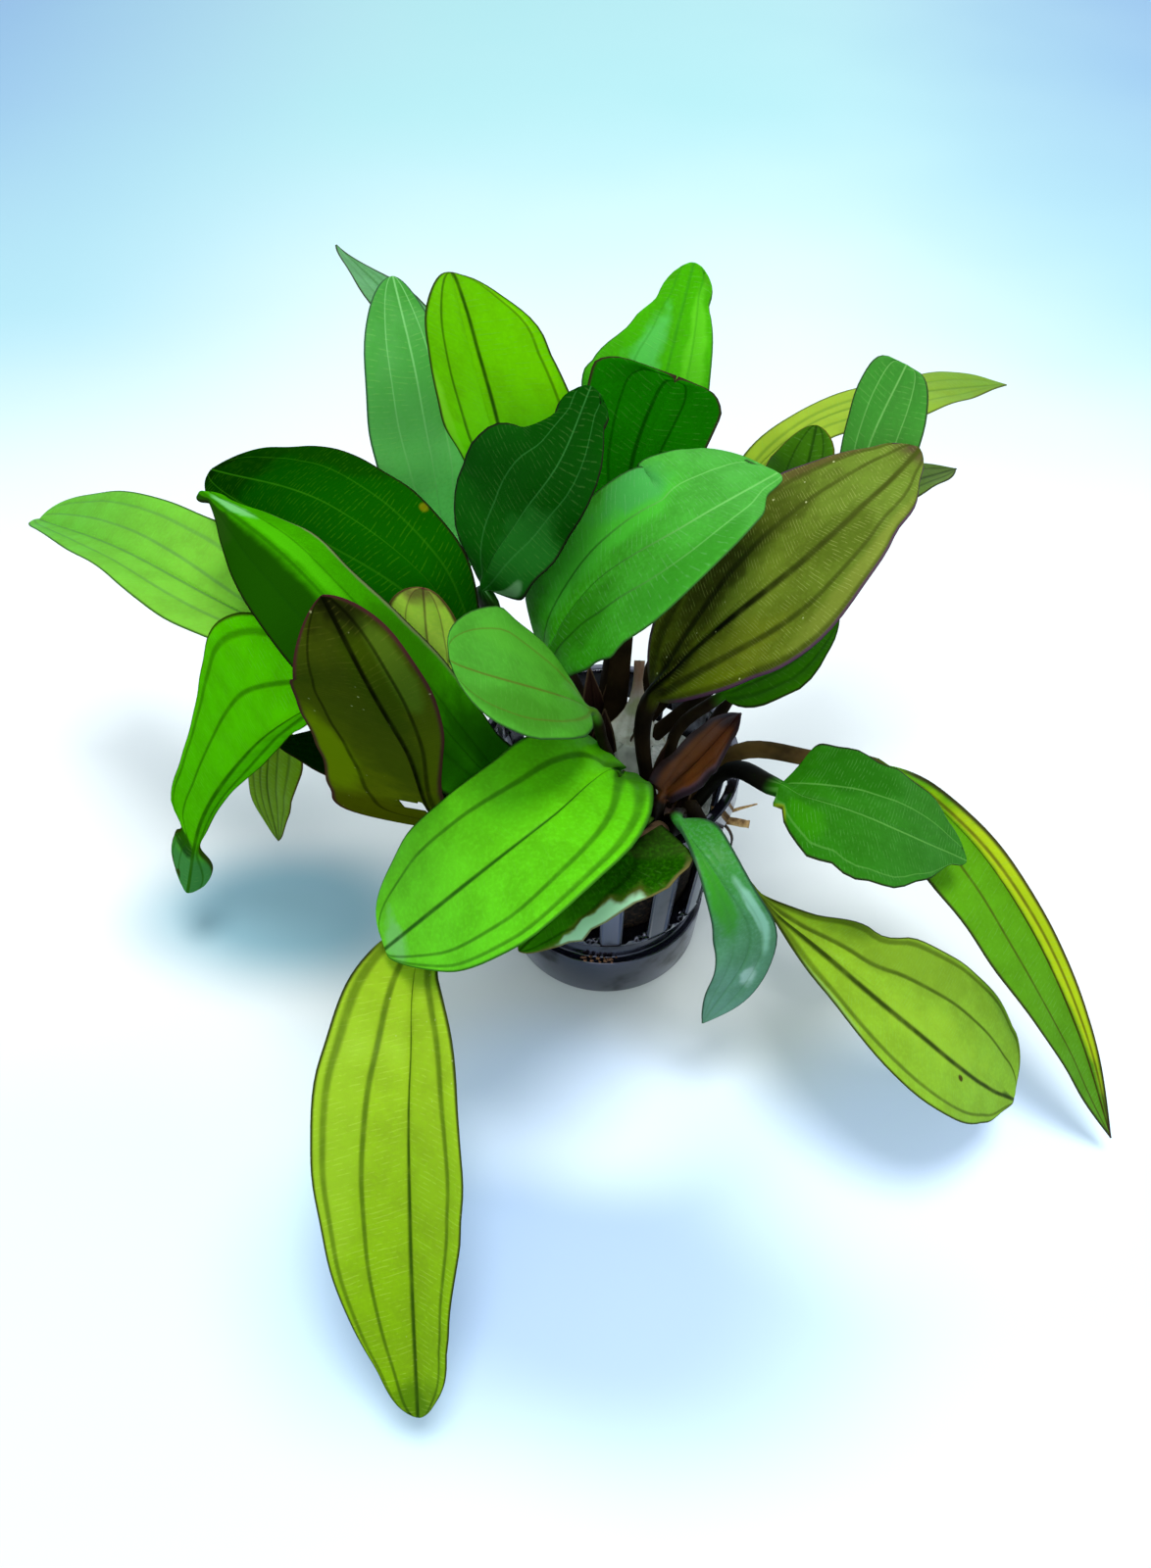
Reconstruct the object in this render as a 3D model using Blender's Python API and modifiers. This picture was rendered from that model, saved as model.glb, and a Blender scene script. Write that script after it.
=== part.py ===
"""Potted amazon sword plant: a leafy rosette in a slotted net pot with a rockwool plug.

Frame: metres, +Z up. The origin is the centre of the pot's flat base, which rests on z = 0.
The side that -Y faces is the front. The leaf table is in millimetres and is scaled once.
"""
import math
from typing import NamedTuple

import bmesh
import bpy
import numpy as np
from mathutils import Matrix

MM = 0.001
GAP = 0.3 * MM

# Net pot: a 50 mm one, turned from a profile and slotted
RIM_RADIUS = 25 * MM
POT_HEIGHT = 52 * MM
COLLAR_HEIGHT = 6 * MM
COLLAR_STEP = 0.8 * MM
WALL_FOOT_RADIUS = 21.6 * MM
GROOVE_TOP = 19 * MM
GROOVE_RADIUS = 19.2 * MM
BAND_HEIGHT = 12 * MM
BAND_RADIUS = 20.9 * MM
BASE_RADIUS = 20 * MM
BASE_BEVEL = 0.6 * MM
WALL = 1.2 * MM
FLOOR = 2 * MM
TURN_STEPS = 42
SLOT_COUNT = 14
SLOT_WIDTH = 5.8 * MM
SLOT_BOTTOM = GROOVE_TOP + WALL
SLOT_TOP = 45.2 * MM
RIB_BEARING = math.radians(-88.5)

# Rockwool plug
WOOL_TOP = 44 * MM
WOOL_TOP_RADIUS = 20.3 * MM
WOOL_FOOT_RADIUS = 15.8 * MM
WOOL_BEVEL = 0.8 * MM

# The two crowns are short rhizomes on the plug, and the leaves grow from them
CROWN_RADIUS = 7.5 * MM
CROWN_HEIGHT = 3.4 * MM
CROWN_BEVEL = 0.8 * MM
CROWN_SIDES = 20
FRONT_CROWN = (8.5, -11.0)
BACK_CROWN = (-1.0, 5.0)
STALK_START = 48.0

# Roots that come out of the slot at the right
ROOT_SLOT = 2.5
ROOT_START = 20.7 * MM

# Sections of a leaf's loft, in millimetres
STALK_RADII = (1.0, 0.9)
BLADE_FOOT_RADIUS = 0.9
BLADE_TIP_RADIUS = 0.25
MIDRIB_DEPTH = 0.5
SIDE_DEPTH = 0.25
STALK_SECTIONS = 5
BLADE_SECTIONS = 11
SPAN_SAMPLES = 40
TANGENT_REACH = 0.03
STATIONS = np.array([0.25, 0.5, 0.75])
UPWARD = np.array([0.0, 0.0, 1.0])
RING_ANGLES = np.radians([180, 135, 90, 45, 0, -45, -90, -135])

# Leaf colours
DARK_GREEN = (0.030, 0.100, 0.022)
GREEN = (0.060, 0.230, 0.025)
BRIGHT_GREEN = (0.130, 0.420, 0.030)
YELLOW_GREEN = (0.290, 0.430, 0.060)
OLIVE = (0.110, 0.120, 0.028)
RED_BROWN = (0.140, 0.045, 0.020)


class Leaf(NamedTuple):
    """One leaf, its stalk and blade grown as one piece. Lengths in millimetres.

    crown: centre of the rhizome that it grows from
    root: bearing of its foot from that centre, in degrees from +Y, and distance
    stalk: points between the foot and the blade
    blade: points along the midrib
    left, right: half widths at 1/4, 1/2 and 3/4 of the blade, seen from foot to tip
    fold: angles by which the left and right halves turn up
    roll: angle by which the whole blade turns, right side up
    ends: powers of the outline at foot and tip, small for blunt and large for pointed
    lobe: how far the corners at the foot reach back
    heading: bearing of the blade where it isn't the one from its first point to its last
    """
    name: str
    colour: tuple
    crown: tuple
    root: tuple
    stalk: list
    blade: list
    left: tuple
    right: tuple
    fold: tuple = (0, 0)
    roll: float = 0
    ends: tuple = (0.5, 0.5)
    lobe: float = 0
    heading: float = None
    radii: tuple = STALK_RADII


LEAVES = [
    # Left side, from the lowest to the highest
    Leaf("low_left_small", OLIVE, BACK_CROWN, (-65, 6.4), [(-21, 12.5, 58), (-42, 13, 56)],
         [(-65.5, 17, 44), (-70.5, 13, 32), (-71, 9.5, 14)],
         left=(9.5, 8, 5), right=(6.5, 6, 5), ends=(0.3, 0.8)),
    Leaf("low_left_dark", DARK_GREEN, FRONT_CROWN, (-85, 6), [],
         [(-14.5, -11, 56), (-35, -11.5, 64), (-62, -0.5, 56)],
         left=(9, 9, 6), right=(9, 9, 6)),
    Leaf("left_hanging", GREEN, BACK_CROWN, (-113, 6.4),
         [(-18, -1, 66), (-36, -8, 78), (-42, -17, 88)],
         [(-41, -26, 94), (-49.5, -25.5, 88), (-63, -15.5, 68), (-79.5, -6.5, 38), (-85.5, -9, 20)],
         left=(5, 4.5, 2.5), right=(19.5, 14.5, 9), fold=(-80, 0), roll=40, ends=(0.7, 0.6),
         heading=-90),
    Leaf("far_left", YELLOW_GREEN, BACK_CROWN, (-89, 6.4), [(-31.5, -2, 74)],
         [(-49, 0, 78), (-64, 5.5, 82), (-89, 24.5, 81), (-115.5, 48, 70.7)],
         left=(12, 10, 7), right=(12, 12.5, 10.5), fold=(18, 18), ends=(0.6, 0.4)),
    Leaf("small_olive_tip", OLIVE, BACK_CROWN, (-138, 6.4), [(-16, -9, 62)],
         [(-26, -16.5, 69), (-29.5, -13, 90), (-29.5, -12, 102)],
         left=(5, 6.2, 5.8), right=(6, 7, 7), heading=-165),
    Leaf("left_dark", DARK_GREEN, BACK_CROWN, (-134, 3.5), [],
         [(-23, -5.5, 84), (-30.5, -6, 100), (-45, 4.5, 105), (-73, 34, 92)],
         left=(12, 13, 10), right=(9.5, 12, 12), fold=(-32, 0), ends=(0.5, 0.25)),
    Leaf("left_folded", GREEN, BACK_CROWN, (172, 6.4), [(-6, -12, 62)],
         [(-14, -28, 70), (-33.5, -25.5, 98), (-47, -17.5, 111), (-68.5, 13, 102)],
         left=(9, 10, 5.5), right=(11, 10.5, 7.5), fold=(-28, -28), ends=(0.4, 0.55)),
    Leaf("left_olive", OLIVE, BACK_CROWN, (-163, 6.4), [(-8, -10, 57), (-19.5, -21, 56)],
         [(-28, -25, 62), (-30, -41.5, 98), (-32.5, -48, 118), (-37, -42.5, 126)],
         left=(3, 5, 7), right=(17.5, 15, 13), fold=(20, 0), ends=(0.15, 0.7),
         heading=-165),
    # Back, from left to right
    Leaf("back_far_point", GREEN, BACK_CROWN, (-19, 6.4), [],
         [(-26, 43, 90), (-35.5, 46, 114), (-49, 59, 122)],
         left=(4.5, 6.5, 5.5), right=(5, 5, 2.5), fold=(20, 20), ends=(0.6, 0.8)),
    Leaf("back_left_green", GREEN, BACK_CROWN, (-42, 6.4), [],
         [(-28, 25, 74), (-31.5, 25.5, 102), (-33, 27.5, 117), (-36.5, 39, 126)],
         left=(9, 10.5, 8.5), right=(8, 8, 6)),
    Leaf("back_yellow", YELLOW_GREEN, BACK_CROWN, (-58, 3.5), [],
         [(-16, 27.5, 79), (-19.5, 16, 111), (-22.5, 13.5, 129), (-24, 13.5, 139)],
         left=(13, 17.5, 16), right=(8, 10.5, 9.5), ends=(0.5, 0.45)),
    Leaf("centre_dark", DARK_GREEN, BACK_CROWN, (-100, 3.5), [],
         [(-21, -2, 94), (-15, -3, 108), (-8.5, -4.5, 119.5), (-4, 1.5, 128)],
         left=(11, 13, 9), right=(9.5, 8.5, 7), ends=(0.6, 0.65), heading=42),
    Leaf("back_top_right", GREEN, BACK_CROWN, (4, 6.4), [],
         [(5.5, 38.5, 80), (9, 37, 106), (14, 48, 124)],
         left=(15, 16.5, 11), right=(8.5, 10, 8), ends=(0.5, 0.6)),
    Leaf("back_centre_dark", DARK_GREEN, BACK_CROWN, (28, 3.5), [],
         [(3, 12.5, 82), (4, 16, 104), (9.5, 19.5, 118)],
         left=(5.5, 8.5, 12), right=(9, 9.5, 9.5), ends=(0.6, 0.15), heading=-5),
    Leaf("centre_green", GREEN, BACK_CROWN, (184, 3.5), [],
         [(-11, -11.5, 86), (-4, -10.5, 101), (10, -11, 113), (25, 3.5, 112)],
         left=(13, 14.5, 14.5), right=(13, 13, 7.5), ends=(0.3, 0.4)),
    # Right side, from the back to the front
    Leaf("right_far_yellow", YELLOW_GREEN, BACK_CROWN, (76, 3.2), [],
         [(21, 27.5, 88), (33.5, 30, 103), (51.5, 37, 105), (75.5, 53, 98)],
         left=(4.5, 5, 6), right=(5, 7, 4.5), ends=(0.6, 0.85)),
    Leaf("right_wedge", OLIVE, BACK_CROWN, (60, 6.4), [],
         [(30, 18, 82), (32, 16, 102), (33.5, 20, 110)],
         left=(6, 9.5, 8.5), right=(6, 7, 6.5), ends=(0.6, 0.5)),
    Leaf("right_back_green", GREEN, BACK_CROWN, (92, 6.4), [],
         [(39.5, 15.5, 84), (42.5, 18.5, 108), (46.5, 21.5, 120)],
         left=(4, 5, 6), right=(8, 10, 9), ends=(0.5, 0.2)),
    Leaf("right_small_tip", YELLOW_GREEN, FRONT_CROWN, (35, 6), [],
         [(44.5, 36.5, 72), (55, 41, 82), (70, 52, 80)],
         left=(8, 9, 6.5), right=(3, 4, 4), ends=(0.6, 0.8)),
    Leaf("right_dark_under", DARK_GREEN, FRONT_CROWN, (45, 3), [(12, -3, 61)],
         [(20, -1.5, 69), (30, 1.5, 76), (40, 7.5, 80)],
         left=(8, 9, 6), right=(7.5, 8, 5.5), ends=(0.55, 0.55)),
    Leaf("right_olive", OLIVE, FRONT_CROWN, (-15, 3), [(5.5, -7.5, 66)],
         [(7, -8.5, 76), (18, -3.5, 89), (31.5, 0, 103), (47.5, 9, 113)],
         left=(13.5, 16.5, 13), right=(14, 17, 12), radii=(1.1, 1.5), ends=(0.55, 0.55)),
    Leaf("right_narrow", YELLOW_GREEN, FRONT_CROWN, (62, 6), [(24, -4, 57), (38, -6, 57)],
         [(52, -4, 52), (65.5, -16, 47), (76, -29, 38), (86, -42.5, 23), (94.5, -55, 5)],
         left=(3.5, 3.5, 2.5), right=(14.5, 12.5, 7.5), fold=(40, 5), ends=(0.5, 0.9)),
    Leaf("right_wavy", GREEN, FRONT_CROWN, (94, 6), [(21.5, -9.5, 58)],
         [(29, -19.5, 64), (44, -24.5, 63), (61.5, -27, 54)],
         left=(13, 12.5, 10.5), right=(13.5, 14.5, 8.5), ends=(0.15, 0.6), radii=(1.1, 1.5)),
    # Front
    Leaf("right_spoon", YELLOW_GREEN, FRONT_CROWN, (124, 6), [(14, -15, 54.5), (15.5, -21.5, 58)],
         [(25, -29.5, 48), (39.5, -43.5, 46), (56, -50, 36), (73.5, -53, 17)],
         left=(7.5, 13.5, 15), right=(6, 13, 12.5), ends=(0.8, 0.2)),
    Leaf("young_red", RED_BROWN, FRONT_CROWN, (180, 2.5), [],
         [(9, -17.5, 60), (14.5, -21, 74), (19.5, -23, 86)],
         left=(4.5, 4.5, 4), right=(4, 5, 4.5), fold=(35, 35), roll=-70, ends=(0.4, 0.5)),
    Leaf("front_twisted", GREEN, FRONT_CROWN, (153, 6), [(12, -19, 57)],
         [(11, -24.5, 62), (17.5, -35.5, 60), (24, -37.5, 44), (17, -41.5, 24)],
         left=(4.5, 4.5, 6.5), right=(3.5, 6.5, 5.5), ends=(0.5, 0.9)),
    Leaf("front_low", DARK_GREEN, FRONT_CROWN, (178, 6), [(9, -20, 54.5), (6.5, -25, 59)],
         [(1.8, -29.5, 60), (-6, -35.5, 55), (-16, -40.5, 46)],
         left=(10, 7, 4.5), right=(9, 9, 6), ends=(0.2, 0.7), lobe=8),
    Leaf("front_round", GREEN, FRONT_CROWN, (-98, 3.6), [(-1.5, -16.5, 72)],
         [(-3.5, -21, 84), (-11.5, -29.5, 98), (-23.5, -34.5, 108)],
         left=(6, 9.5, 10.5), right=(7, 12, 12), roll=20, ends=(0.55, 0.35)),
    Leaf("front_bright", BRIGHT_GREEN, FRONT_CROWN, (-140, 4), [],
         [(-1, -26.5, 76), (-10, -41, 82), (-20.5, -47.5, 77), (-36.5, -48.8, 59)],
         left=(11.5, 14, 10.5), right=(13.5, 14.5, 13), ends=(0.2, 0.25), lobe=9),
    Leaf("front_long", YELLOW_GREEN, FRONT_CROWN, (-118, 6), [(-11, -27, 60)],
         [(-30.5, -45, 56), (-31.5, -66.5, 53), (-31.5, -84.5, 37), (-31, -105, 12)],
         left=(8, 10, 8), right=(13.5, 14.5, 10.5), fold=(30, 5), ends=(0.2, 0.55)),
]


def unit(vectors):
    """Vectors scaled to length 1."""
    return vectors / np.linalg.norm(vectors, axis=-1, keepdims=True)


def smooth_path(points):
    """Centripetal Catmull-Rom curve through the points, with the length along it."""
    nodes = np.array([2 * np.array(points[0]) - points[1], *points,
                      2 * np.array(points[-1]) - points[-2]], dtype=float)
    u = np.linspace(0, 1, SPAN_SAMPLES, endpoint=False)[:, None]
    spans = []
    for p0, p1, p2, p3 in zip(nodes, nodes[1:], nodes[2:], nodes[3:]):
        d0, d1, d2 = (np.linalg.norm(b - a) ** 0.5 for a, b in ((p0, p1), (p1, p2), (p2, p3)))
        start = (p2 - p1) + d1 * ((p1 - p0) / d0 - (p2 - p0) / (d0 + d1))
        end = (p2 - p1) + d1 * ((p3 - p2) / d2 - (p3 - p1) / (d1 + d2))
        spans.append(p1 * (2 * u**3 - 3 * u**2 + 1) + start * (u**3 - 2 * u**2 + u)
                     + p2 * (3 * u**2 - 2 * u**3) + end * (u**3 - u**2))
    path = np.vstack([*spans, nodes[-2:-1]])
    length = np.concatenate([[0], np.cumsum(np.linalg.norm(np.diff(path, axis=0), axis=1))])
    return path, length


def along(path, length, distances):
    """Points at the given distances along a path."""
    return np.stack([np.interp(distances, length, path[:, axis]) for axis in range(3)], -1)


def half_width(widths, ends, t):
    """Half width of a blade at t, which runs from 0 at the foot to 1 at the tip."""
    foot, tip = ends
    w1, w2, w3 = np.array(widths) / (STATIONS**foot * (1 - STATIONS)**tip)
    t1, t2, t3 = STATIONS
    middle = (w1 * (t - t2) * (t - t3) / ((t1 - t2) * (t1 - t3))
              + w2 * (t - t1) * (t - t3) / ((t2 - t1) * (t2 - t3))
              + w3 * (t - t1) * (t - t2) / ((t3 - t1) * (t3 - t2)))
    return t**foot * (1 - t)**tip * middle


class Spine:
    """The line of a leaf: its stalk's foot, the stalk and the midrib, with the blade's axes."""

    def __init__(self, leaf):
        bearing = math.radians(leaf.root[0])
        foot = (leaf.crown[0] + leaf.root[1] * math.sin(bearing),
                leaf.crown[1] + leaf.root[1] * math.cos(bearing), STALK_START)
        self.path, self.length = smooth_path([foot, *leaf.stalk, *leaf.blade])
        self.blade_start = self.length[(1 + len(leaf.stalk)) * SPAN_SAMPLES]
        self.blade_length = self.length[-1] - self.blade_start
        ahead = np.subtract(leaf.blade[-1], leaf.blade[0])[:2]
        if leaf.heading is not None:
            ahead = np.array([math.sin(math.radians(leaf.heading)),
                              math.cos(math.radians(leaf.heading))])
        self.sideways = unit(np.array([ahead[1], -ahead[0], 0.0]))
        self.roll = math.radians(leaf.roll)

    def direction(self, distances, reach):
        """Unit vectors along the line."""
        before = np.clip(distances - reach, 0, self.length[-1])
        after = np.clip(distances + reach, 0, self.length[-1])
        return unit(along(self.path, self.length, after) - along(self.path, self.length, before))

    def blade_frame(self, t):
        """Midrib points, and unit vectors along, across to the right and up, at t."""
        distances = self.blade_start + self.blade_length * t
        tangent = self.direction(distances, TANGENT_REACH * self.blade_length)
        across = unit(self.sideways - tangent * (tangent @ self.sideways)[:, None])
        up = np.cross(across, tangent)
        rolled = across * math.cos(self.roll) + up * math.sin(self.roll)
        up = up * math.cos(self.roll) - across * math.sin(self.roll)
        return along(self.path, self.length, distances), tangent, rolled, up


def round_ring(centre, across, up, radius):
    """One round section of eight points."""
    return centre + radius * (np.outer(np.cos(RING_ANGLES), across)
                              + np.outer(np.sin(RING_ANGLES), up))


def stalk_rings(leaf, spine):
    """Round sections from the foot, which stands flat on the crown, up to the blade."""
    _, _, (blade_across, *_), _ = spine.blade_frame(np.array([0.0, 1.0]))
    rings = []
    for distance in np.linspace(0, spine.blade_start, STALK_SECTIONS, endpoint=False):
        centre = along(spine.path, spine.length, np.array([distance]))[0]
        tangent = spine.direction(np.array([distance]), 1.0)[0] if distance else UPWARD
        across = unit(blade_across - tangent * (tangent @ blade_across))
        radius = np.interp(distance, [0, spine.blade_start], leaf.radii)
        rings.append(round_ring(centre, across, np.cross(across, tangent), radius))
    return rings


def blade_rings(leaf, spine):
    """Sections of the blade: thick at the midrib and sharp at both edges."""
    t = 0.5 - 0.5 * np.cos(np.linspace(0, np.pi, BLADE_SECTIONS))
    middle, tangent, across, up = spine.blade_frame(t)
    rings = [round_ring(middle[0], across[0], up[0], BLADE_FOOT_RADIUS)]
    for i in range(1, BLADE_SECTIONS - 1):
        thin = 1 - 0.5 * t[i]

        def point(share, lift):
            """A point on the blade, its share of the half width and its lift off the middle."""
            side = 1 if share > 0 else 0
            width = half_width((leaf.left, leaf.right)[side], leaf.ends, t[i])
            turn = math.radians(leaf.fold[side])
            back = leaf.lobe * share**2 * (1 - t[i])**4
            return (middle[i] + across[i] * share * width * math.cos(turn)
                    + up[i] * (abs(share) * width * math.sin(turn) + lift * thin)
                    - tangent[i] * back)

        rings.append(np.array([
            point(-1, 0), point(-0.5, SIDE_DEPTH), point(0, MIDRIB_DEPTH), point(0.5, SIDE_DEPTH),
            point(1, 0), point(0.5, -SIDE_DEPTH), point(0, -MIDRIB_DEPTH),
            point(-0.5, -SIDE_DEPTH)]))
    rings.append(round_ring(middle[-1], across[-1], up[-1], BLADE_TIP_RADIUS))
    return rings


def material(name, colour, roughness):
    """A plain Principled material."""
    result = bpy.data.materials.new(name)
    result.use_nodes = True
    shader = result.node_tree.nodes["Principled BSDF"]
    shader.inputs["Base Color"].default_value = (*colour, 1)
    shader.inputs["Roughness"].default_value = roughness
    return result


def add_object(name, mesh, paint, collection):
    """An object for a mesh, in a collection."""
    result = bpy.data.objects.new(name, mesh)
    mesh.materials.append(paint)
    collection.objects.link(result)
    return result


def leaf_object(leaf, paint, collection):
    """Lofts the stalk's round sections into the blade's thin ones, as one closed solid."""
    spine = Spine(leaf)
    rings = [*stalk_rings(leaf, spine), *blade_rings(leaf, spine)]
    mesh = bpy.data.meshes.new(leaf.name)
    loft = bmesh.new()
    rows = [[loft.verts.new(point * MM) for point in ring] for ring in rings]
    for lower, upper in zip(rows, rows[1:]):
        for i in range(len(lower)):
            j = (i + 1) % len(lower)
            loft.faces.new((lower[i], lower[j], upper[j], upper[i]))
    loft.faces.new(rows[0][::-1])
    loft.faces.new(rows[-1])
    bmesh.ops.triangulate(loft, faces=loft.faces)
    bmesh.ops.recalc_face_normals(loft, faces=loft.faces)
    loft.to_mesh(mesh)
    loft.free()
    mesh.shade_smooth()
    return add_object(leaf.name, mesh, paint, collection)


def turned(name, profile, paint, collection):
    """Turns a profile of (radius, height) about Z. It runs down its outer side."""
    mesh = bpy.data.meshes.new(name)
    edges = [(i, i + 1) for i in range(len(profile) - 1)]
    mesh.from_pydata([(radius, 0, height) for radius, height in profile], edges, [])
    result = add_object(name, mesh, paint, collection)
    screw = result.modifiers.new("Turn", "SCREW")
    screw.steps = TURN_STEPS
    screw.render_steps = TURN_STEPS
    screw.use_merge_vertices = True
    screw.merge_threshold = 0.00001
    return result


def slot_cutter(wall_top_radius, collection):
    """One mesh of boxes that stand across the wall, between the ribs."""
    cutter_mesh = bpy.data.meshes.new("slot_cutter")
    boxes = bmesh.new()
    reach = 2 * (wall_top_radius - GROOVE_RADIUS + WALL)
    height = SLOT_TOP - SLOT_BOTTOM
    for i in range(SLOT_COUNT):
        bearing = RIB_BEARING + (i + 0.5) * math.tau / SLOT_COUNT
        box = bmesh.ops.create_cube(boxes, size=1)["verts"]
        bmesh.ops.scale(boxes, verts=box, vec=(reach, SLOT_WIDTH, height))
        bmesh.ops.translate(boxes, verts=box, vec=(wall_top_radius, 0, SLOT_BOTTOM + height / 2))
        bmesh.ops.rotate(boxes, verts=box, cent=(0, 0, 0),
                         matrix=Matrix.Rotation(bearing, 3, "Z"))
    boxes.to_mesh(cutter_mesh)
    boxes.free()
    cutter = bpy.data.objects.new("slot_cutter", cutter_mesh)
    cutter.display_type = "WIRE"
    cutter.hide_render = True
    collection.objects.link(cutter)
    return cutter


def net_pot(collection, cutters):
    """The pot: floor, solid band, groove, slotted wall and collar."""
    collar_foot = POT_HEIGHT - COLLAR_HEIGHT
    wall_top_radius = RIM_RADIUS - COLLAR_STEP
    profile = [
        (0, FLOOR),
        (BASE_RADIUS - 2 * WALL, FLOOR),
        (GROOVE_RADIUS - WALL, SLOT_BOTTOM),
        (WALL_FOOT_RADIUS - WALL, SLOT_BOTTOM),
        (wall_top_radius - WALL, collar_foot),
        (wall_top_radius - WALL, POT_HEIGHT),
        (RIM_RADIUS, POT_HEIGHT),
        (RIM_RADIUS, collar_foot),
        (wall_top_radius, collar_foot),
        (WALL_FOOT_RADIUS, GROOVE_TOP),
        (GROOVE_RADIUS, GROOVE_TOP),
        (GROOVE_RADIUS, BAND_HEIGHT),
        (BAND_RADIUS, BAND_HEIGHT),
        (BASE_RADIUS + BASE_BEVEL / 2, BASE_BEVEL),
        (BASE_RADIUS, 0),
        (0, 0),
    ]
    paint = material("pot_black_plastic", (0.012, 0.012, 0.015), 0.25)
    pot = turned("net_pot", profile, paint, collection)
    slots = pot.modifiers.new("Slots", "BOOLEAN")
    slots.operation = "DIFFERENCE"
    slots.object = slot_cutter(wall_top_radius, cutters)


def rockwool(collection):
    """The plug, a gap clear of the pot's floor and wall."""
    foot = FLOOR + GAP
    profile = [
        (0, WOOL_TOP),
        (WOOL_TOP_RADIUS - WOOL_BEVEL, WOOL_TOP),
        (WOOL_TOP_RADIUS, WOOL_TOP - WOOL_BEVEL),
        (WOOL_FOOT_RADIUS, foot),
        (0, foot),
    ]
    turned("rockwool", profile, material("rockwool_white", (0.80, 0.80, 0.76), 0.95), collection)


def crown(name, centre, paint, collection):
    """A short rhizome that stands on the plug."""
    mesh = bpy.data.meshes.new(name)
    disc = bmesh.new()
    bmesh.ops.create_cone(disc, cap_ends=True, segments=CROWN_SIDES, radius1=CROWN_RADIUS,
                          radius2=CROWN_RADIUS, depth=CROWN_HEIGHT)
    disc.to_mesh(mesh)
    disc.free()
    result = add_object(name, mesh, paint, collection)
    result.location = (centre[0] * MM, centre[1] * MM, WOOL_TOP + GAP + CROWN_HEIGHT / 2)
    rounding = result.modifiers.new("Round", "BEVEL")
    rounding.width = CROWN_BEVEL
    rounding.segments = 1
    rounding.limit_method = "ANGLE"


def root(name, radius, points, paint, collection):
    """A root as a round wire. Its points are bearing from the slot, distance and height."""
    slot = RIB_BEARING + ROOT_SLOT * math.tau / SLOT_COUNT
    curve = bpy.data.curves.new(name, "CURVE")
    curve.dimensions = "3D"
    curve.bevel_depth = radius
    curve.bevel_resolution = 2
    curve.use_fill_caps = True
    line = curve.splines.new("POLY")
    line.points.add(len(points) - 1)
    for spot, (degrees, distance, height) in zip(line.points, points):
        bearing = slot + math.radians(degrees)
        spot.co = (distance * math.cos(bearing), distance * math.sin(bearing), height, 1)
    add_object(name, curve, paint, collection)


def main():
    for old in list(bpy.data.objects):
        bpy.data.objects.remove(old, do_unlink=True)
    plant = bpy.data.collections.new("amazon_sword_plant")
    cutters = bpy.data.collections.new("cutters")
    for collection in (plant, cutters):
        bpy.context.scene.collection.children.link(collection)

    net_pot(plant, cutters)
    rockwool(plant)
    rhizome = material("crown_brown", (0.035, 0.018, 0.014), 0.6)
    crown("front_crown", FRONT_CROWN, rhizome, plant)
    crown("back_crown", BACK_CROWN, rhizome, plant)

    tan = material("root_tan", (0.36, 0.21, 0.09), 0.7)
    root("root_thick", 0.9 * MM, [(2, ROOT_START, 42.4 * MM), (3, 24 * MM, 42.8 * MM),
                                  (4, 28.4 * MM, 43 * MM)], tan, plant)
    root("root_thin", 0.45 * MM, [(5, ROOT_START, 44.2 * MM), (5.5, 24 * MM, 44.3 * MM),
                                  (9, 26.5 * MM, 44.5 * MM)], tan, plant)

    greens = {
        DARK_GREEN: material("leaf_dark_green", DARK_GREEN, 0.35),
        GREEN: material("leaf_green", GREEN, 0.35),
        BRIGHT_GREEN: material("leaf_bright_green", BRIGHT_GREEN, 0.35),
        YELLOW_GREEN: material("leaf_yellow_green", YELLOW_GREEN, 0.4),
        OLIVE: material("leaf_olive", OLIVE, 0.4),
        RED_BROWN: material("leaf_red_brown", RED_BROWN, 0.35),
    }
    for leaf in LEAVES:
        leaf_object(leaf, greens[leaf.colour], plant)


main()
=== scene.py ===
"""Looks of the potted amazon sword plant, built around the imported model.

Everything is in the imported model's frame: metres, +Z up, the pot's flat base on z = 0, the
front towards -Y. The leaf table is in millimetres and is scaled once.
"""
import math
from typing import NamedTuple

import bmesh
import bpy
import numpy as np
from mathutils import Matrix, Vector, noise


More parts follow.
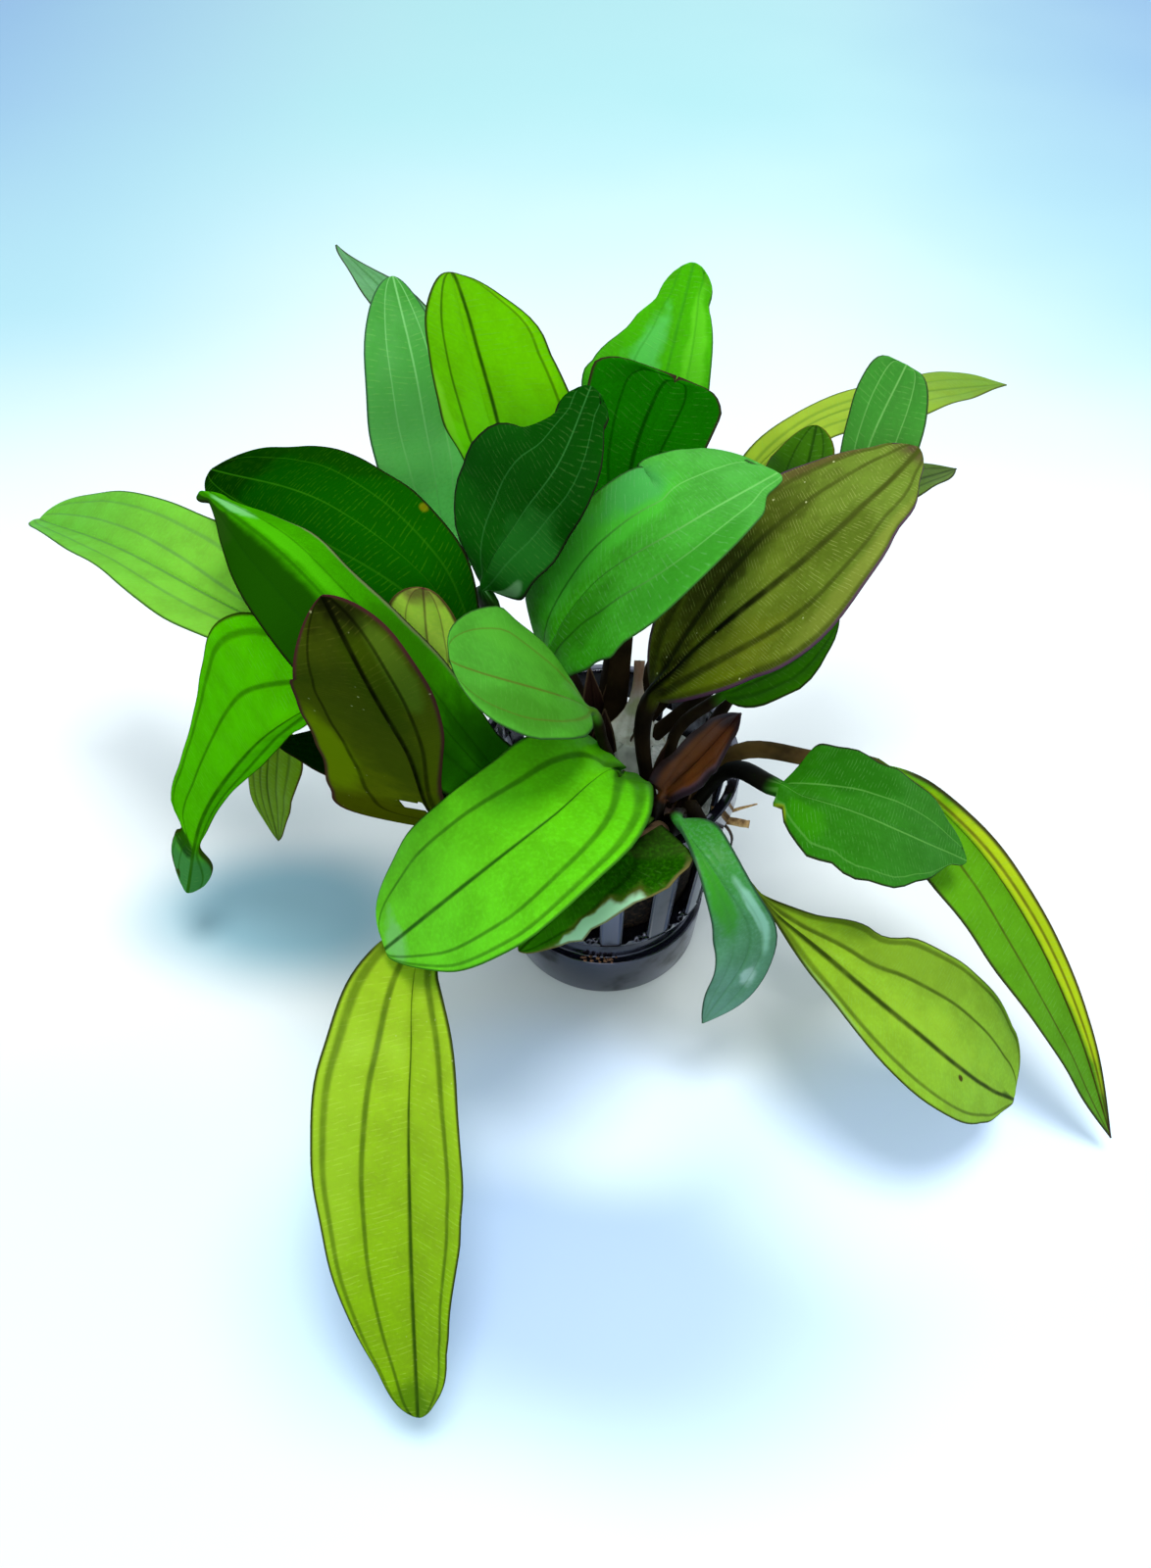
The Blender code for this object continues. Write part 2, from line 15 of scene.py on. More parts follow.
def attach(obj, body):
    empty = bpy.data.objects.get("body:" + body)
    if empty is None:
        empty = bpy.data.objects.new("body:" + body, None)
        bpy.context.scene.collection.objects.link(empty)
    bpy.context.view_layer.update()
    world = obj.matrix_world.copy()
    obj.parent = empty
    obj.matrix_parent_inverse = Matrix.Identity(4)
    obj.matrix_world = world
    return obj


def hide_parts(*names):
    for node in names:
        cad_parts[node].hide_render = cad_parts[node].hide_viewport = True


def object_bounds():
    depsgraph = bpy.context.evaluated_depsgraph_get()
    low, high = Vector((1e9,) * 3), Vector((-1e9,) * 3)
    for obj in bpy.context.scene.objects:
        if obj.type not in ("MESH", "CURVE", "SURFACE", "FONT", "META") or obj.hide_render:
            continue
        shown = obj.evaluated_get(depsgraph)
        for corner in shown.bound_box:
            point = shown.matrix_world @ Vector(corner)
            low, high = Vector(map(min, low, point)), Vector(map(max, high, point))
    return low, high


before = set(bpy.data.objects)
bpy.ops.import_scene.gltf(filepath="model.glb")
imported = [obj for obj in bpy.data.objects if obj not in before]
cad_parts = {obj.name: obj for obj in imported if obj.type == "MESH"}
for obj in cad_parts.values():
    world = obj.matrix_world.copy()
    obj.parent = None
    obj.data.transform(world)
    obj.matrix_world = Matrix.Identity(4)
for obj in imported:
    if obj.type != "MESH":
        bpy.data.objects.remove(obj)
CAD_BOX = [list(corner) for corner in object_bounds()]

MM = 0.001
CAD_LIMITS = np.array(CAD_BOX) / MM

# Camera: a wide lens close above the plant
SENSOR = 36
LENS = 28.125
CAMERA_PLACE = (-6.3 * MM, -158 * MM, 222 * MM)
CAMERA_PITCH = math.radians(48.5)

# Leaf sections, in millimetres
FOOT_RADII = (1.0, 0.9)
STALK_START = 48.0
SPAN_SAMPLES = 40
TANGENT_REACH = 0.03
STATIONS = np.array([0.25, 0.5, 0.75])
BLADE_STEP = 1.2
STALK_STEP = 2.0
BLADE_DEPTH = 0.16
RIB_TIP = 0.16
VEIN_DEPTH = 0.12
VEIN_GATHER = 1.3
SHEATH_LENGTH = 20.0
FOOT_DEPTH = 3.4
FOOT_GATHER = 0.6
QUILT_HEIGHT = 0.22
RIPPLE_HEIGHT = 0.35
RIPPLE_LENGTH = 9.0
RUNG_SLANT = 0.25
UPWARD = np.array([0.0, 0.0, 1.0])

# Grain of the leaves, in repeats a metre
MOTTLE_SCALE = 150
GRAIN_SCALE = 1500
WOBBLE_SCALE = 260
BREAK_SCALE = 700
SPECK_SCALE = 650.0
SPECK_COLOUR = (226, 232, 170)

# Pot, in millimetres: radius and height down its outer side, and back up inside
RIM_RADIUS = 25.0
POT_HEIGHT = 52.0
COLLAR_FOOT = 46.0
WALL_TOP_RADIUS = 24.2
WALL_FOOT_RADIUS = 21.6
GROOVE_TOP = 19.0
GROOVE_RADIUS = 19.2
BAND_HEIGHT = 12.0
BAND_RADIUS = 20.9
BASE_RADIUS = 20.0
WALL = 1.2
FLOOR = 2.0
SLOT_COUNT = 14
SLOT_WIDTH = 5.8
SLOT_BOTTOM = GROOVE_TOP + WALL
SLOT_TOP = 45.2
RIB_BEARING = math.radians(-88.5)
SLOT_STEPS = 7
RIB_STEPS = 5
POT_EDGE = 0.35

# Plug of rock wool, crowns and roots, in millimetres
WOOL_TOP = 44.0
WOOL_TOP_RADIUS = 20.3
WOOL_FOOT_RADIUS = 15.8
WOOL_FOOT = 2.3
WOOL_ROUNDING = 1.2
WOOL_STEPS = 220
WOOL_TOP_ROWS = 45
WOOL_SIDE_ROWS = 80
CROWN_RADIUS = 5.0
CROWN_FOOT = 44.3
CROWN_TOP = 49.0
CROWN_SIDE = 1.2
CROWN_STEPS = 72
FRONT_CROWN = (8.5, -11.0)
BACK_CROWN = (-1.0, 5.0)
ROOT_BEARING = RIB_BEARING + 2.5 * math.tau / SLOT_COUNT
LEDGE_RADIUS = 20.0
CRUMB_COUNT = 15
CRUMB_START = -1.82
CRUMB_STEP = 0.024

# In metres: how near welded points are, the length of edges that are dissolved, the heights
# between which the wool turns from dark to white, and the floor's breadth
WELD = 1e-6
TOO_SHORT = 1e-7
WOOL_DARK_LINE = (0.0385, 0.0405)
FLOOR_SIZE = 8


class Leaf(NamedTuple):
    """One leaf, its stalk and blade grown as one piece. Lengths in millimetres.

    name: its name in the record
    slot: its material slot in the record; not used by this script
    crown: centre of the rhizome that it grows from
    root: bearing of its foot from that centre, in degrees from +Y, and distance
    stalk: points between the foot and the blade
    blade: points along the midrib
    left, right: half widths at 1/4, 1/2 and 3/4 of the blade, seen from foot to tip
    fold: angles by which the left and right halves turn up
    roll: angle by which the whole blade turns, right side up
    ends: powers of the outline at foot and tip, small for blunt and large for pointed
    lobe: how far the corners at the foot reach back
    heading: bearing of the blade where it isn't the one from its first point to its last
    radii: radii of the stalk at its foot and where the blade starts
    """
    name: str
    slot: str
    crown: tuple
    root: tuple
    stalk: list
    blade: list
    left: tuple
    right: tuple
    fold: tuple = (0, 0)
    roll: float = 0
    ends: tuple = (0.5, 0.5)
    lobe: float = 0
    heading: float = None
    radii: tuple = FOOT_RADII


LEAVES = [
    # Left side, from the lowest to the highest
    Leaf("low_left_small", "leaf_olive", BACK_CROWN, (-65, 6.4), [(-21, 12.5, 58), (-42, 13, 56)],
         [(-65.5, 17, 44), (-70.5, 13, 32), (-71, 9.5, 14)],
         left=(9.5, 8, 5), right=(6.5, 6, 5), ends=(0.3, 0.8)),
    Leaf("low_left_dark", "leaf_dark_green", FRONT_CROWN, (-85, 6), [],
         [(-14.5, -11, 56), (-35, -11.5, 64), (-62, -0.5, 56)],
         left=(9, 9, 6), right=(9, 9, 6)),
    Leaf("left_hanging", "leaf_green", BACK_CROWN, (-113, 6.4),
         [(-18, -1, 66), (-36, -8, 78), (-42, -17, 88)],
         [(-41, -26, 94), (-49.5, -25.5, 88), (-63, -15.5, 68), (-79.5, -6.5, 38), (-85.5, -9, 20)],
         left=(5, 4.5, 2.5), right=(19.5, 14.5, 9), fold=(-80, 0), roll=40, ends=(0.7, 0.6),
         heading=-90),
    Leaf("far_left", "leaf_yellow_green", BACK_CROWN, (-89, 6.4), [(-31.5, -2, 74)],
         [(-49, 0, 78), (-64, 5.5, 82), (-89, 24.5, 81), (-115.5, 48, 70.7)],
         left=(12, 10, 7), right=(12, 12.5, 10.5), fold=(18, 18), ends=(0.6, 0.4)),
    Leaf("small_olive_tip", "leaf_olive", BACK_CROWN, (-138, 6.4), [(-16, -9, 62)],
         [(-26, -16.5, 69), (-29.5, -13, 90), (-29.5, -12, 102)],
         left=(5, 6.2, 5.8), right=(6, 7, 7), heading=-165),
    Leaf("left_dark", "leaf_dark_green", BACK_CROWN, (-134, 3.5), [],
         [(-23, -5.5, 84), (-30.5, -6, 100), (-45, 4.5, 105), (-73, 34, 92)],
         left=(12, 13, 10), right=(9.5, 12, 12), fold=(-32, 0), ends=(0.5, 0.25)),
    Leaf("left_folded", "leaf_green", BACK_CROWN, (172, 6.4), [(-6, -12, 62)],
         [(-14, -28, 70), (-33.5, -25.5, 98), (-47, -17.5, 111), (-68.5, 13, 102)],
         left=(9, 10, 5.5), right=(11, 10.5, 7.5), fold=(-28, -28), ends=(0.4, 0.55)),
    Leaf("left_olive", "leaf_olive", BACK_CROWN, (-163, 6.4), [(-8, -10, 57), (-19.5, -21, 56)],
         [(-28, -25, 62), (-30, -41.5, 98), (-32.5, -48, 118), (-37, -42.5, 126)],
         left=(3, 5, 7), right=(17.5, 15, 13), fold=(20, 0), ends=(0.15, 0.7),
         heading=-165),
    # Back, from left to right
    Leaf("back_far_point", "leaf_green", BACK_CROWN, (-19, 6.4), [],
         [(-26, 43, 90), (-35.5, 46, 114), (-49, 59, 122)],
         left=(4.5, 6.5, 5.5), right=(5, 5, 2.5), fold=(20, 20), ends=(0.6, 0.8)),
    Leaf("back_left_green", "leaf_green", BACK_CROWN, (-42, 6.4), [],
         [(-28, 25, 74), (-31.5, 25.5, 102), (-33, 27.5, 117), (-36.5, 39, 126)],
         left=(9, 10.5, 8.5), right=(8, 8, 6)),
    Leaf("back_yellow", "leaf_yellow_green", BACK_CROWN, (-58, 3.5), [],
         [(-16, 27.5, 79), (-19.5, 16, 111), (-22.5, 13.5, 129), (-24, 13.5, 139)],
         left=(13, 17.5, 16), right=(8, 10.5, 9.5), ends=(0.5, 0.45)),
    Leaf("centre_dark", "leaf_dark_green", BACK_CROWN, (-100, 3.5), [],
         [(-21, -2, 94), (-15, -3, 108), (-8.5, -4.5, 119.5), (-4, 1.5, 128)],
         left=(11, 13, 9), right=(9.5, 8.5, 7), ends=(0.6, 0.65), heading=42),
    Leaf("back_top_right", "leaf_green", BACK_CROWN, (4, 6.4), [],
         [(5.5, 38.5, 80), (9, 37, 106), (14, 48, 124)],
         left=(15, 16.5, 11), right=(8.5, 10, 8), ends=(0.5, 0.6)),
    Leaf("back_centre_dark", "leaf_dark_green", BACK_CROWN, (28, 3.5), [],
         [(3, 12.5, 82), (4, 16, 104), (9.5, 19.5, 118)],
         left=(5.5, 8.5, 12), right=(9, 9.5, 9.5), ends=(0.6, 0.15), heading=-5),
    Leaf("centre_green", "leaf_green", BACK_CROWN, (184, 3.5), [],
         [(-11, -11.5, 86), (-4, -10.5, 101), (10, -11, 113), (25, 3.5, 112)],
         left=(13, 14.5, 14.5), right=(13, 13, 7.5), ends=(0.3, 0.4)),
    # Right side, from the back to the front
    Leaf("right_far_yellow", "leaf_yellow_green", BACK_CROWN, (76, 3.2), [],
         [(21, 27.5, 88), (33.5, 30, 103), (51.5, 37, 105), (75.5, 53, 98)],
         left=(4.5, 5, 6), right=(5, 7, 4.5), ends=(0.6, 0.85)),
    Leaf("right_wedge", "leaf_olive", BACK_CROWN, (60, 6.4), [],
         [(30, 18, 82), (32, 16, 102), (33.5, 20, 110)],
         left=(6, 9.5, 8.5), right=(6, 7, 6.5), ends=(0.6, 0.5)),
    Leaf("right_back_green", "leaf_green", BACK_CROWN, (92, 6.4), [],
         [(39.5, 15.5, 84), (42.5, 18.5, 108), (46.5, 21.5, 120)],
         left=(4, 5, 6), right=(8, 10, 9), ends=(0.5, 0.2)),
    Leaf("right_small_tip", "leaf_yellow_green", FRONT_CROWN, (35, 6), [],
         [(44.5, 36.5, 72), (55, 41, 82), (70, 52, 80)],
         left=(8, 9, 6.5), right=(3, 4, 4), ends=(0.6, 0.8)),
    Leaf("right_dark_under", "leaf_dark_green", FRONT_CROWN, (45, 3), [(12, -3, 61)],
         [(20, -1.5, 69), (30, 1.5, 76), (40, 7.5, 80)],
         left=(8, 9, 6), right=(7.5, 8, 5.5), ends=(0.55, 0.55)),
    Leaf("right_olive", "leaf_olive", FRONT_CROWN, (-15, 3), [(5.5, -7.5, 66)],
         [(7, -8.5, 76), (18, -3.5, 89), (31.5, 0, 103), (47.5, 9, 113)],
         left=(13.5, 16.5, 13), right=(14, 17, 12), radii=(1.1, 1.5), ends=(0.55, 0.55)),
    Leaf("right_narrow", "leaf_yellow_green", FRONT_CROWN, (62, 6), [(24, -4, 57), (38, -6, 57)],
         [(52, -4, 52), (65.5, -16, 47), (76, -29, 38), (86, -42.5, 23), (94.5, -55, 5)],
         left=(3.5, 3.5, 2.5), right=(14.5, 12.5, 7.5), fold=(40, 5), ends=(0.5, 0.9)),
    Leaf("right_wavy", "leaf_green", FRONT_CROWN, (94, 6), [(21.5, -9.5, 58)],
         [(29, -19.5, 64), (44, -24.5, 63), (61.5, -27, 54)],
         left=(13, 12.5, 10.5), right=(13.5, 14.5, 8.5), ends=(0.15, 0.6), radii=(1.1, 1.5)),
    # Front
    Leaf("right_spoon", "leaf_yellow_green", FRONT_CROWN, (124, 6), [(14, -15, 54.5), (15.5, -21.5, 58)],
         [(25, -29.5, 48), (39.5, -43.5, 46), (56, -50, 36), (73.5, -53, 17)],
         left=(7.5, 13.5, 15), right=(6, 13, 12.5), ends=(0.8, 0.2)),
    Leaf("young_red", "leaf_red_brown", FRONT_CROWN, (180, 2.5), [],
         [(9, -17.5, 60), (14.5, -21, 74), (19.5, -23, 86)],
         left=(4.5, 4.5, 4), right=(4, 5, 4.5), fold=(35, 35), roll=-70, ends=(0.4, 0.5)),
    Leaf("front_twisted", "leaf_green", FRONT_CROWN, (153, 6), [(12, -19, 57)],
         [(11, -24.5, 62), (17.5, -35.5, 60), (24, -37.5, 44), (17, -41.5, 24)],
         left=(4.5, 4.5, 6.5), right=(3.5, 6.5, 5.5), ends=(0.5, 0.9)),
    Leaf("front_low", "leaf_dark_green", FRONT_CROWN, (178, 6), [(9, -20, 54.5), (6.5, -25, 59)],
         [(1.8, -29.5, 60), (-6, -35.5, 55), (-16, -40.5, 46)],
         left=(10, 7, 4.5), right=(9, 9, 6), ends=(0.2, 0.7), lobe=8),
    Leaf("front_round", "leaf_green", FRONT_CROWN, (-98, 3.6), [(-1.5, -16.5, 72)],
         [(-3.5, -21, 84), (-11.5, -29.5, 98), (-23.5, -34.5, 108)],
         left=(6, 9.5, 10.5), right=(7, 12, 12), roll=20, ends=(0.55, 0.35)),
    Leaf("front_bright", "leaf_bright_green", FRONT_CROWN, (-140, 4), [],
         [(-1, -26.5, 76), (-10, -41, 82), (-20.5, -47.5, 77), (-36.5, -48.8, 59)],
         left=(11.5, 14, 10.5), right=(13.5, 14.5, 13), ends=(0.2, 0.25), lobe=9),
    Leaf("front_long", "leaf_yellow_green", FRONT_CROWN, (-118, 6), [(-11, -27, 60)],
         [(-30.5, -45, 56), (-31.5, -66.5, 53), (-31.5, -84.5, 37), (-31, -105, 12)],
         left=(8, 10, 8), right=(13.5, 14.5, 10.5), fold=(30, 5), ends=(0.2, 0.55)),
]


class Look(NamedTuple):
    """How one leaf looks. Colours are sRGB bytes, places are (across, along) the blade.

    flesh, tip: colour of the blade at its foot and at its tip
    vein: colour of the veins
    vein_tip: colour of the veins at the tip, where it isn't the same
    stalk, edge: colours of the stalk and of the line round the edge
    veins, ladder: how strongly the veins and the fine cross veins show, 0 to 1
    ladder_colour: colour of the cross veins
    rung: distance between the cross veins, in millimetres
    glow: how much light comes through
    gloss, shine: roughness and strength of the reflections
    wave: height, count and start of the waves along the edges
    curl: angle by which each half bends up towards its edge
    patches: (across, along, half width, half length, colour, strength, raggedness) and, for
    a patch with a hard edge, the share of it that fades; on some leaves a patch is painted
    sheen, light or shade
    specks: strength of small pale specks
    stalk_breadth: how much broader than thick the stalk is
    sheath: how much wider the stalk is at its foot
    midrib: where the midrib's line runs across the blade
    lines: places of the side veins across the blade
    vein_width: breadth of the veins, 1 for a broad dark one
    rim: breadth of the edge line, in millimetres
    bulges: (along, half length, left, right), how much the edges stand out, in millimetres
    crest: how far the two sides reach beyond the midrib's tip, or, where it is negative, how
        long the round end of the blade is, in millimetres
    lobes: how far the left and the right side reach back behind the foot, in millimetres
    holes: (across, along, half width, half length)
    """
    flesh: tuple
    tip: tuple
    vein: tuple
    vein_tip: tuple = None
    stalk: tuple = (44, 34, 20)
    edge: tuple = (40, 34, 20)
    veins: float = 0.7
    ladder: float = 0.14
    ladder_colour: tuple = (150, 210, 110)
    rung: float = 0.9
    glow: float = 0.4
    gloss: float = 0.4
    shine: float = 0.04
    wave: tuple = (0.4, 2.5, 0.1)
    curl: tuple = (6, 6)
    patches: tuple = ()
    specks: float = 0
    stalk_breadth: float = 1.0
    sheath: float = 1.0
    midrib: float = 0
    lines: tuple = (-0.72, -0.4, 0.4, 0.72)
    vein_width: float = 1
    rim: float = 0.4
    bulges: tuple = ()
    crest: float = 0
    lobes: tuple = (0, 0)
    holes: tuple = ()


PURPLE = (52, 26, 30)
LOOKS = {
    "low_left_small": Look((112, 152, 16), (112, 152, 26), (46, 66, 10), edge=(70, 40, 20)),
    "low_left_dark": Look((2, 30, 1), (3, 34, 2), (12, 40, 6), ladder=0, shine=0),
    "left_hanging": Look((98, 212, 0), (84, 184, 3), (40, 104, 2), veins=0.9, glow=0.5,
        lines=(-0.6, 0.55, 0.9), edge=(50, 60, 10),
        patches=((0, 1, 1.6, 0.13, (66, 134, 76), 0.85, 0.2),
        (0.6, 0.88, 0.8, 0.03, (14, 50, 10), 0.8, 0.2)), shine=0, crest=-3.5,
        bulges=((0.8, 0.12, 0, 1.5), (0.86, 0.04, -0.3, -3), (0.98, 0.1, 4.2, 3.4))),
    "far_left": Look((142, 208, 66), (112, 192, 60), (92, 138, 84), glow=0.5, veins=0.6, midrib=-0.15,
        lines=(-0.6, 0.35, 0.75), edge=(50, 90, 30)),
    "small_olive_tip": Look((206, 240, 92), (206, 246, 84), (96, 70, 50), edge=(84, 30, 40),
        lines=(-0.5, 0.5), vein_width=0.6, rim=0.8,
        patches=((0, 1, 1.2, 0.1, (110, 60, 60), 0.7, 0.5),)),
    "left_dark": Look((10, 80, 0), (2, 58, 0), (40, 104, 10), shine=0, ladder=0.16, rung=0.95,
        ladder_colour=(84, 150, 20), vein_width=0.45, veins=0.6, lines=(-0.5, 0.62), edge=(30, 24, 14),
        glow=0.2, patches=((0.2, 1, 1.4, 0.04, (6, 8, 4), 0.9, 0.3),
        (0, 0.95, 1.4, 0.2, (3, 36, 0), 0.7, 0.4), (0.93, 0.32, 0.07, 0.014, (130, 120, 10), 0.5, 0.4),
        (0.9, 0.7, 0.3, 0.3, (8, 50, 0), 0.6, 0.4))),
    "left_folded": Look((50, 134, 3), (54, 144, 1), (16, 62, 3), lines=(-0.5, 0.5), veins=0.5,
        vein_width=0.8, ladder=0, edge=(20, 24, 10), glow=0.25,
        # Painted shade: the dark left half, which faces away from the light
        patches=((-0.62, 0.6, 0.62, 0.56, (16, 60, 1), 0.95, 0.15),
        # Painted light: the bright patch on the right half at (0.3, 0.7)
        (0.5, 0.36, 0.6, 0.12, (40, 104, 3), 0.8, 0.4), (0.3, 0.7, 0.25, 0.3, (74, 176, 10), 0.7, 0.3),
        (-0.8, 0.9, 0.7, 0.16, (30, 66, 12), 0.8, 0.4),
        # Painted sheen: the pale patch near the tip at (0.3, 0.88)
        (0.3, 0.88, 0.3, 0.1, (120, 190, 120), 0.8, 0.3), (1, 0.55, 0.1, 0.4, (120, 116, 90), 0.7, 0.4),
        (0, 0.1, 1.4, 0.2, (24, 84, 2), 0.8, 0.3)), shine=0, crest=-1.5, bulges=((1, 0.06, 1.5, 1.5),)),
    "left_olive": Look((88, 100, 6), (48, 62, 8), (8, 10, 2), edge=(64, 28, 34), veins=0.95,
        ladder=0.06, ladder_colour=(150, 150, 60), lines=(-0.45, 0.7), rim=0.7, shine=0, specks=0.25,
        glow=0.3, patches=((-0.6, 0.82, 0.3, 0.14, (70, 98, 21), 0.7, 0.3),
        # Painted backlight: the yellow strip along the left edge at (0.9, 0.4)
        (-0.1, 0.8, 0.4, 0.2, (44, 64, 2), 0.7, 0.5), (0.9, 0.4, 0.26, 0.26, (98, 122, 2), 0.85, 0.3),
        (-0.2, 1.0, 1.2, 0.09, (14, 14, 4), 0.9, 0.5), (0.1, 0.5, 0.6, 0.4, (50, 64, 8), 0.6, 0.5),
        (0.9, 0.02, 0.8, 0.16, (66, 70, 1), 0.8, 0.4)), holes=((0.3, 0.12, 0.1, 0.08),), lobes=(0, 18),
        bulges=((0.03, 0.14, 0, 3.5),)),
    "back_far_point": Look((100, 162, 96), (100, 162, 110), (80, 140, 80), lines=(-0.5, 0.5)),
    "back_left_green": Look((136, 236, 130), (64, 146, 54), (140, 210, 130), ladder=0.2, vein_width=0.5,
        lines=(-0.5, 0.5), edge=(50, 80, 60)),
    "back_yellow": Look((156, 240, 2), (146, 226, 2), (48, 96, 2), edge=PURPLE, veins=0.95, glow=0.5,
        midrib=-0.1, lines=(-0.85, 0.55), rim=0.6,
        patches=((0.94, 0.5, 0.16, 0.22, (176, 240, 60), 0.7, 0.3),), bulges=((0.89, 0.07, 1, 0),)),
    "centre_dark": Look((14, 84, 10), (3, 62, 0), (60, 130, 60), shine=0.02, ladder=0.06,
        stalk_breadth=3, vein_width=0.4, veins=0.5, lines=(-0.5, 0.5), glow=0.2, edge=(24, 20, 16),
        # Painted sheen: the paler bluish green patch on the lower part at (0.5, 0.3)
        patches=((0.5, 0.3, 0.7, 0.26, (34, 108, 34), 0.6, 0.4),
        (0.86, 0.1, 0.1, 0.13, (120, 170, 120), 0.6, 0.3)), crest=-2.8, bulges=((0.25, 0.15, 1.5, -0.8),
        (0.06, 0.08, -1.5, 0), (0.7, 0.15, -0.6, 1), (1, 0.1, 2.8, 2.8))),
    "back_top_right": Look((92, 200, 34), (80, 186, 4), (60, 160, 30), glow=0.5, stalk_breadth=1.8,
        lines=(-0.5, 0.5), veins=0.5, edge=(60, 110, 40),
        patches=((0.6, 0.7, 0.3, 0.3, (124, 222, 50), 0.6, 0.4),
        (-0.4, 0.65, 0.3, 0.2, (120, 220, 130), 0.5, 0.6)), crest=-3, bulges=((0.62, 0.08, 0.6, 0),
        (0.75, 0.08, -0.9, 0), (1, 0.12, 3, 3))),
    "back_centre_dark": Look((14, 110, 0), (16, 106, 0), (3, 46, 0), edge=PURPLE, shine=0,
        stalk_breadth=1.8, lines=(-0.55, 0.3), midrib=-0.15, ladder=0.05, glow=0.2, rim=0.6, crest=1.2,
        bulges=((1, 0.08, -1.2, -1.2),)),
    "centre_green": Look((50, 150, 6), (76, 172, 60), (20, 70, 4), (120, 200, 100), ladder=0.1,
        vein_width=0.6, lines=(-0.5, 0.5), edge=(50, 90, 40), shine=0.06, veins=0.85, stalk_breadth=1.7,
        # Painted sheen: the pale patches on the upper left at (-0.6, 0.42) and (-0.8, 0.56)
        ladder_colour=(170, 226, 170), patches=((-0.6, 0.42, 0.4, 0.34, (78, 196, 54), 0.75, 0.35),
        (-0.8, 0.56, 0.3, 0.2, (70, 164, 84), 0.7, 0.35), (0.4, 0.2, 0.4, 0.2, (34, 110, 4), 0.6, 0.4),
        (0.7, 0.6, 0.3, 0.2, (48, 140, 26), 0.6, 0.4)), crest=-1.8, bulges=((1, 0.12, 2, 1.8),
        (0.1, 0.08, 1.2, -1), (0.3, 0.1, 0, 1), (0.7, 0.12, 0.8, -1))),
    "right_far_yellow": Look((184, 208, 66), (124, 166, 52), (110, 150, 50), glow=0.5,
        lines=(-0.5, 0.5), edge=(90, 100, 40)),
    "right_wedge": Look((64, 118, 14), (66, 122, 15), (24, 60, 6), lines=(-0.5, 0.5),
        edge=(90, 80, 20)),
    "right_back_green": Look((112, 196, 84), (70, 152, 54), (150, 214, 120), ladder=0.2, vein_width=0.5,
        lines=(-0.5, 0.5), edge=(50, 60, 40)),
    "right_small_tip": Look((120, 160, 60), (110, 140, 60), (60, 80, 40), edge=(50, 40, 30),
        lines=(-0.5, 0.5), bulges=((0.8, 0.3, -1, -1),)),
    "right_dark_under": Look((62, 142, 5), (60, 138, 6), (30, 84, 4), glow=0.3),
    "right_olive": Look((96, 106, 16), (112, 138, 46), (8, 8, 2), (72, 84, 22), edge=(84, 50, 84),
        veins=1.0, ladder=0.36, rung=0.55, ladder_colour=(190, 200, 110), specks=0.7, midrib=0.2,
        rim=0.6, lines=(-0.82, -0.44, 0.64, 0.95), glow=0.4,
        patches=((0.9, 0.66, 0.2, 0.24, (140, 152, 60), 0.6, 0.35),
        (0, 0.42, 0.5, 0.14, (126, 148, 46), 0.6, 0.4),
        (0.9, 0.15, 0.3, 0.14, (114, 132, 18), 0.7, 0.35),
        (-0.6, 0.5, 0.4, 0.3, (66, 76, 16), 0.7, 0.5), (0.3, 0.7, 0.5, 0.1, (84, 104, 22), 0.6, 0.4),
        (-0.98, 0.75, 0.2, 0.3, (92, 66, 44), 0.7, 0.5), (0, 1.02, 1.3, 0.07, (84, 56, 50), 0.8, 0.4),
        (-0.1, 0, 0.8, 0.2, (10, 8, 2), 0.9, 0.7), (-0.5, 0.3, 0.4, 0.2, (52, 54, 12), 0.6, 0.8),
        (0.6, 0.3, 0.3, 0.2, (124, 138, 34), 0.5, 0.7)), vein_width=1.8, crest=-1.6,
        bulges=((0.9, 0.13, 0.5, 2.2), (1, 0.07, 1.6, 1.6))),
    "right_narrow": Look((104, 178, 18), (96, 156, 34), (70, 34, 20), edge=PURPLE, glow=0.5,
        stalk=(116, 92, 50), stalk_breadth=1.6, lines=(-0.5, 0.55), veins=0.9, vein_width=0.8, rim=0.6,
        patches=((-0.62, 0.5, 0.6, 0.42, (198, 216, 34), 0.85, 0.2),)),
    "right_wavy": Look((42, 126, 6), (52, 122, 36), (104, 170, 76), ladder=0.24, rung=0.62,
        ladder_colour=(120, 190, 100), vein_width=0.5, lines=(-0.46, 0.85), wave=(0.5, 4, 0),
        midrib=0.1, edge=(36, 30, 20), stalk=(20, 20, 14),
        patches=((0.95, 0.05, 0.1, 0.04, (150, 160, 24), 0.6, 0.5),
        (0.6, 0.15, 0.3, 0.1, (56, 150, 6), 0.6, 0.4), (-0.7, 0.34, 0.4, 0.3, (30, 104, 4), 0.7, 0.4)),
        bulges=((0.05, 0.04, 0, -2), (0.19, 0.07, 0, 1.4), (0.3, 0.06, 0, -0.9), (0.5, 0.1, -0.3, 0.5),
        (0.67, 0.08, 0.4, -0.4), (1, 0.1, 1.4, 1.4)), crest=-1.4),
    "right_spoon": Look((156, 194, 44), (146, 190, 58), (44, 62, 10), edge=(44, 48, 18), veins=0.95,
        glow=0.5, midrib=0.28, lines=(-0.92, -0.46, 0.84), ladder=0.2, rung=0.6, vein_width=1.3,
        patches=((1, 0.3, 0.1, 0.13, (150, 190, 110), 0.6, 0.3),
        (-0.7, 0.5, 0.5, 0.34, (124, 158, 42), 0.5, 0.9),
        (0.1, 0.6, 0.4, 0.3, (170, 208, 58), 0.4, 0.9),
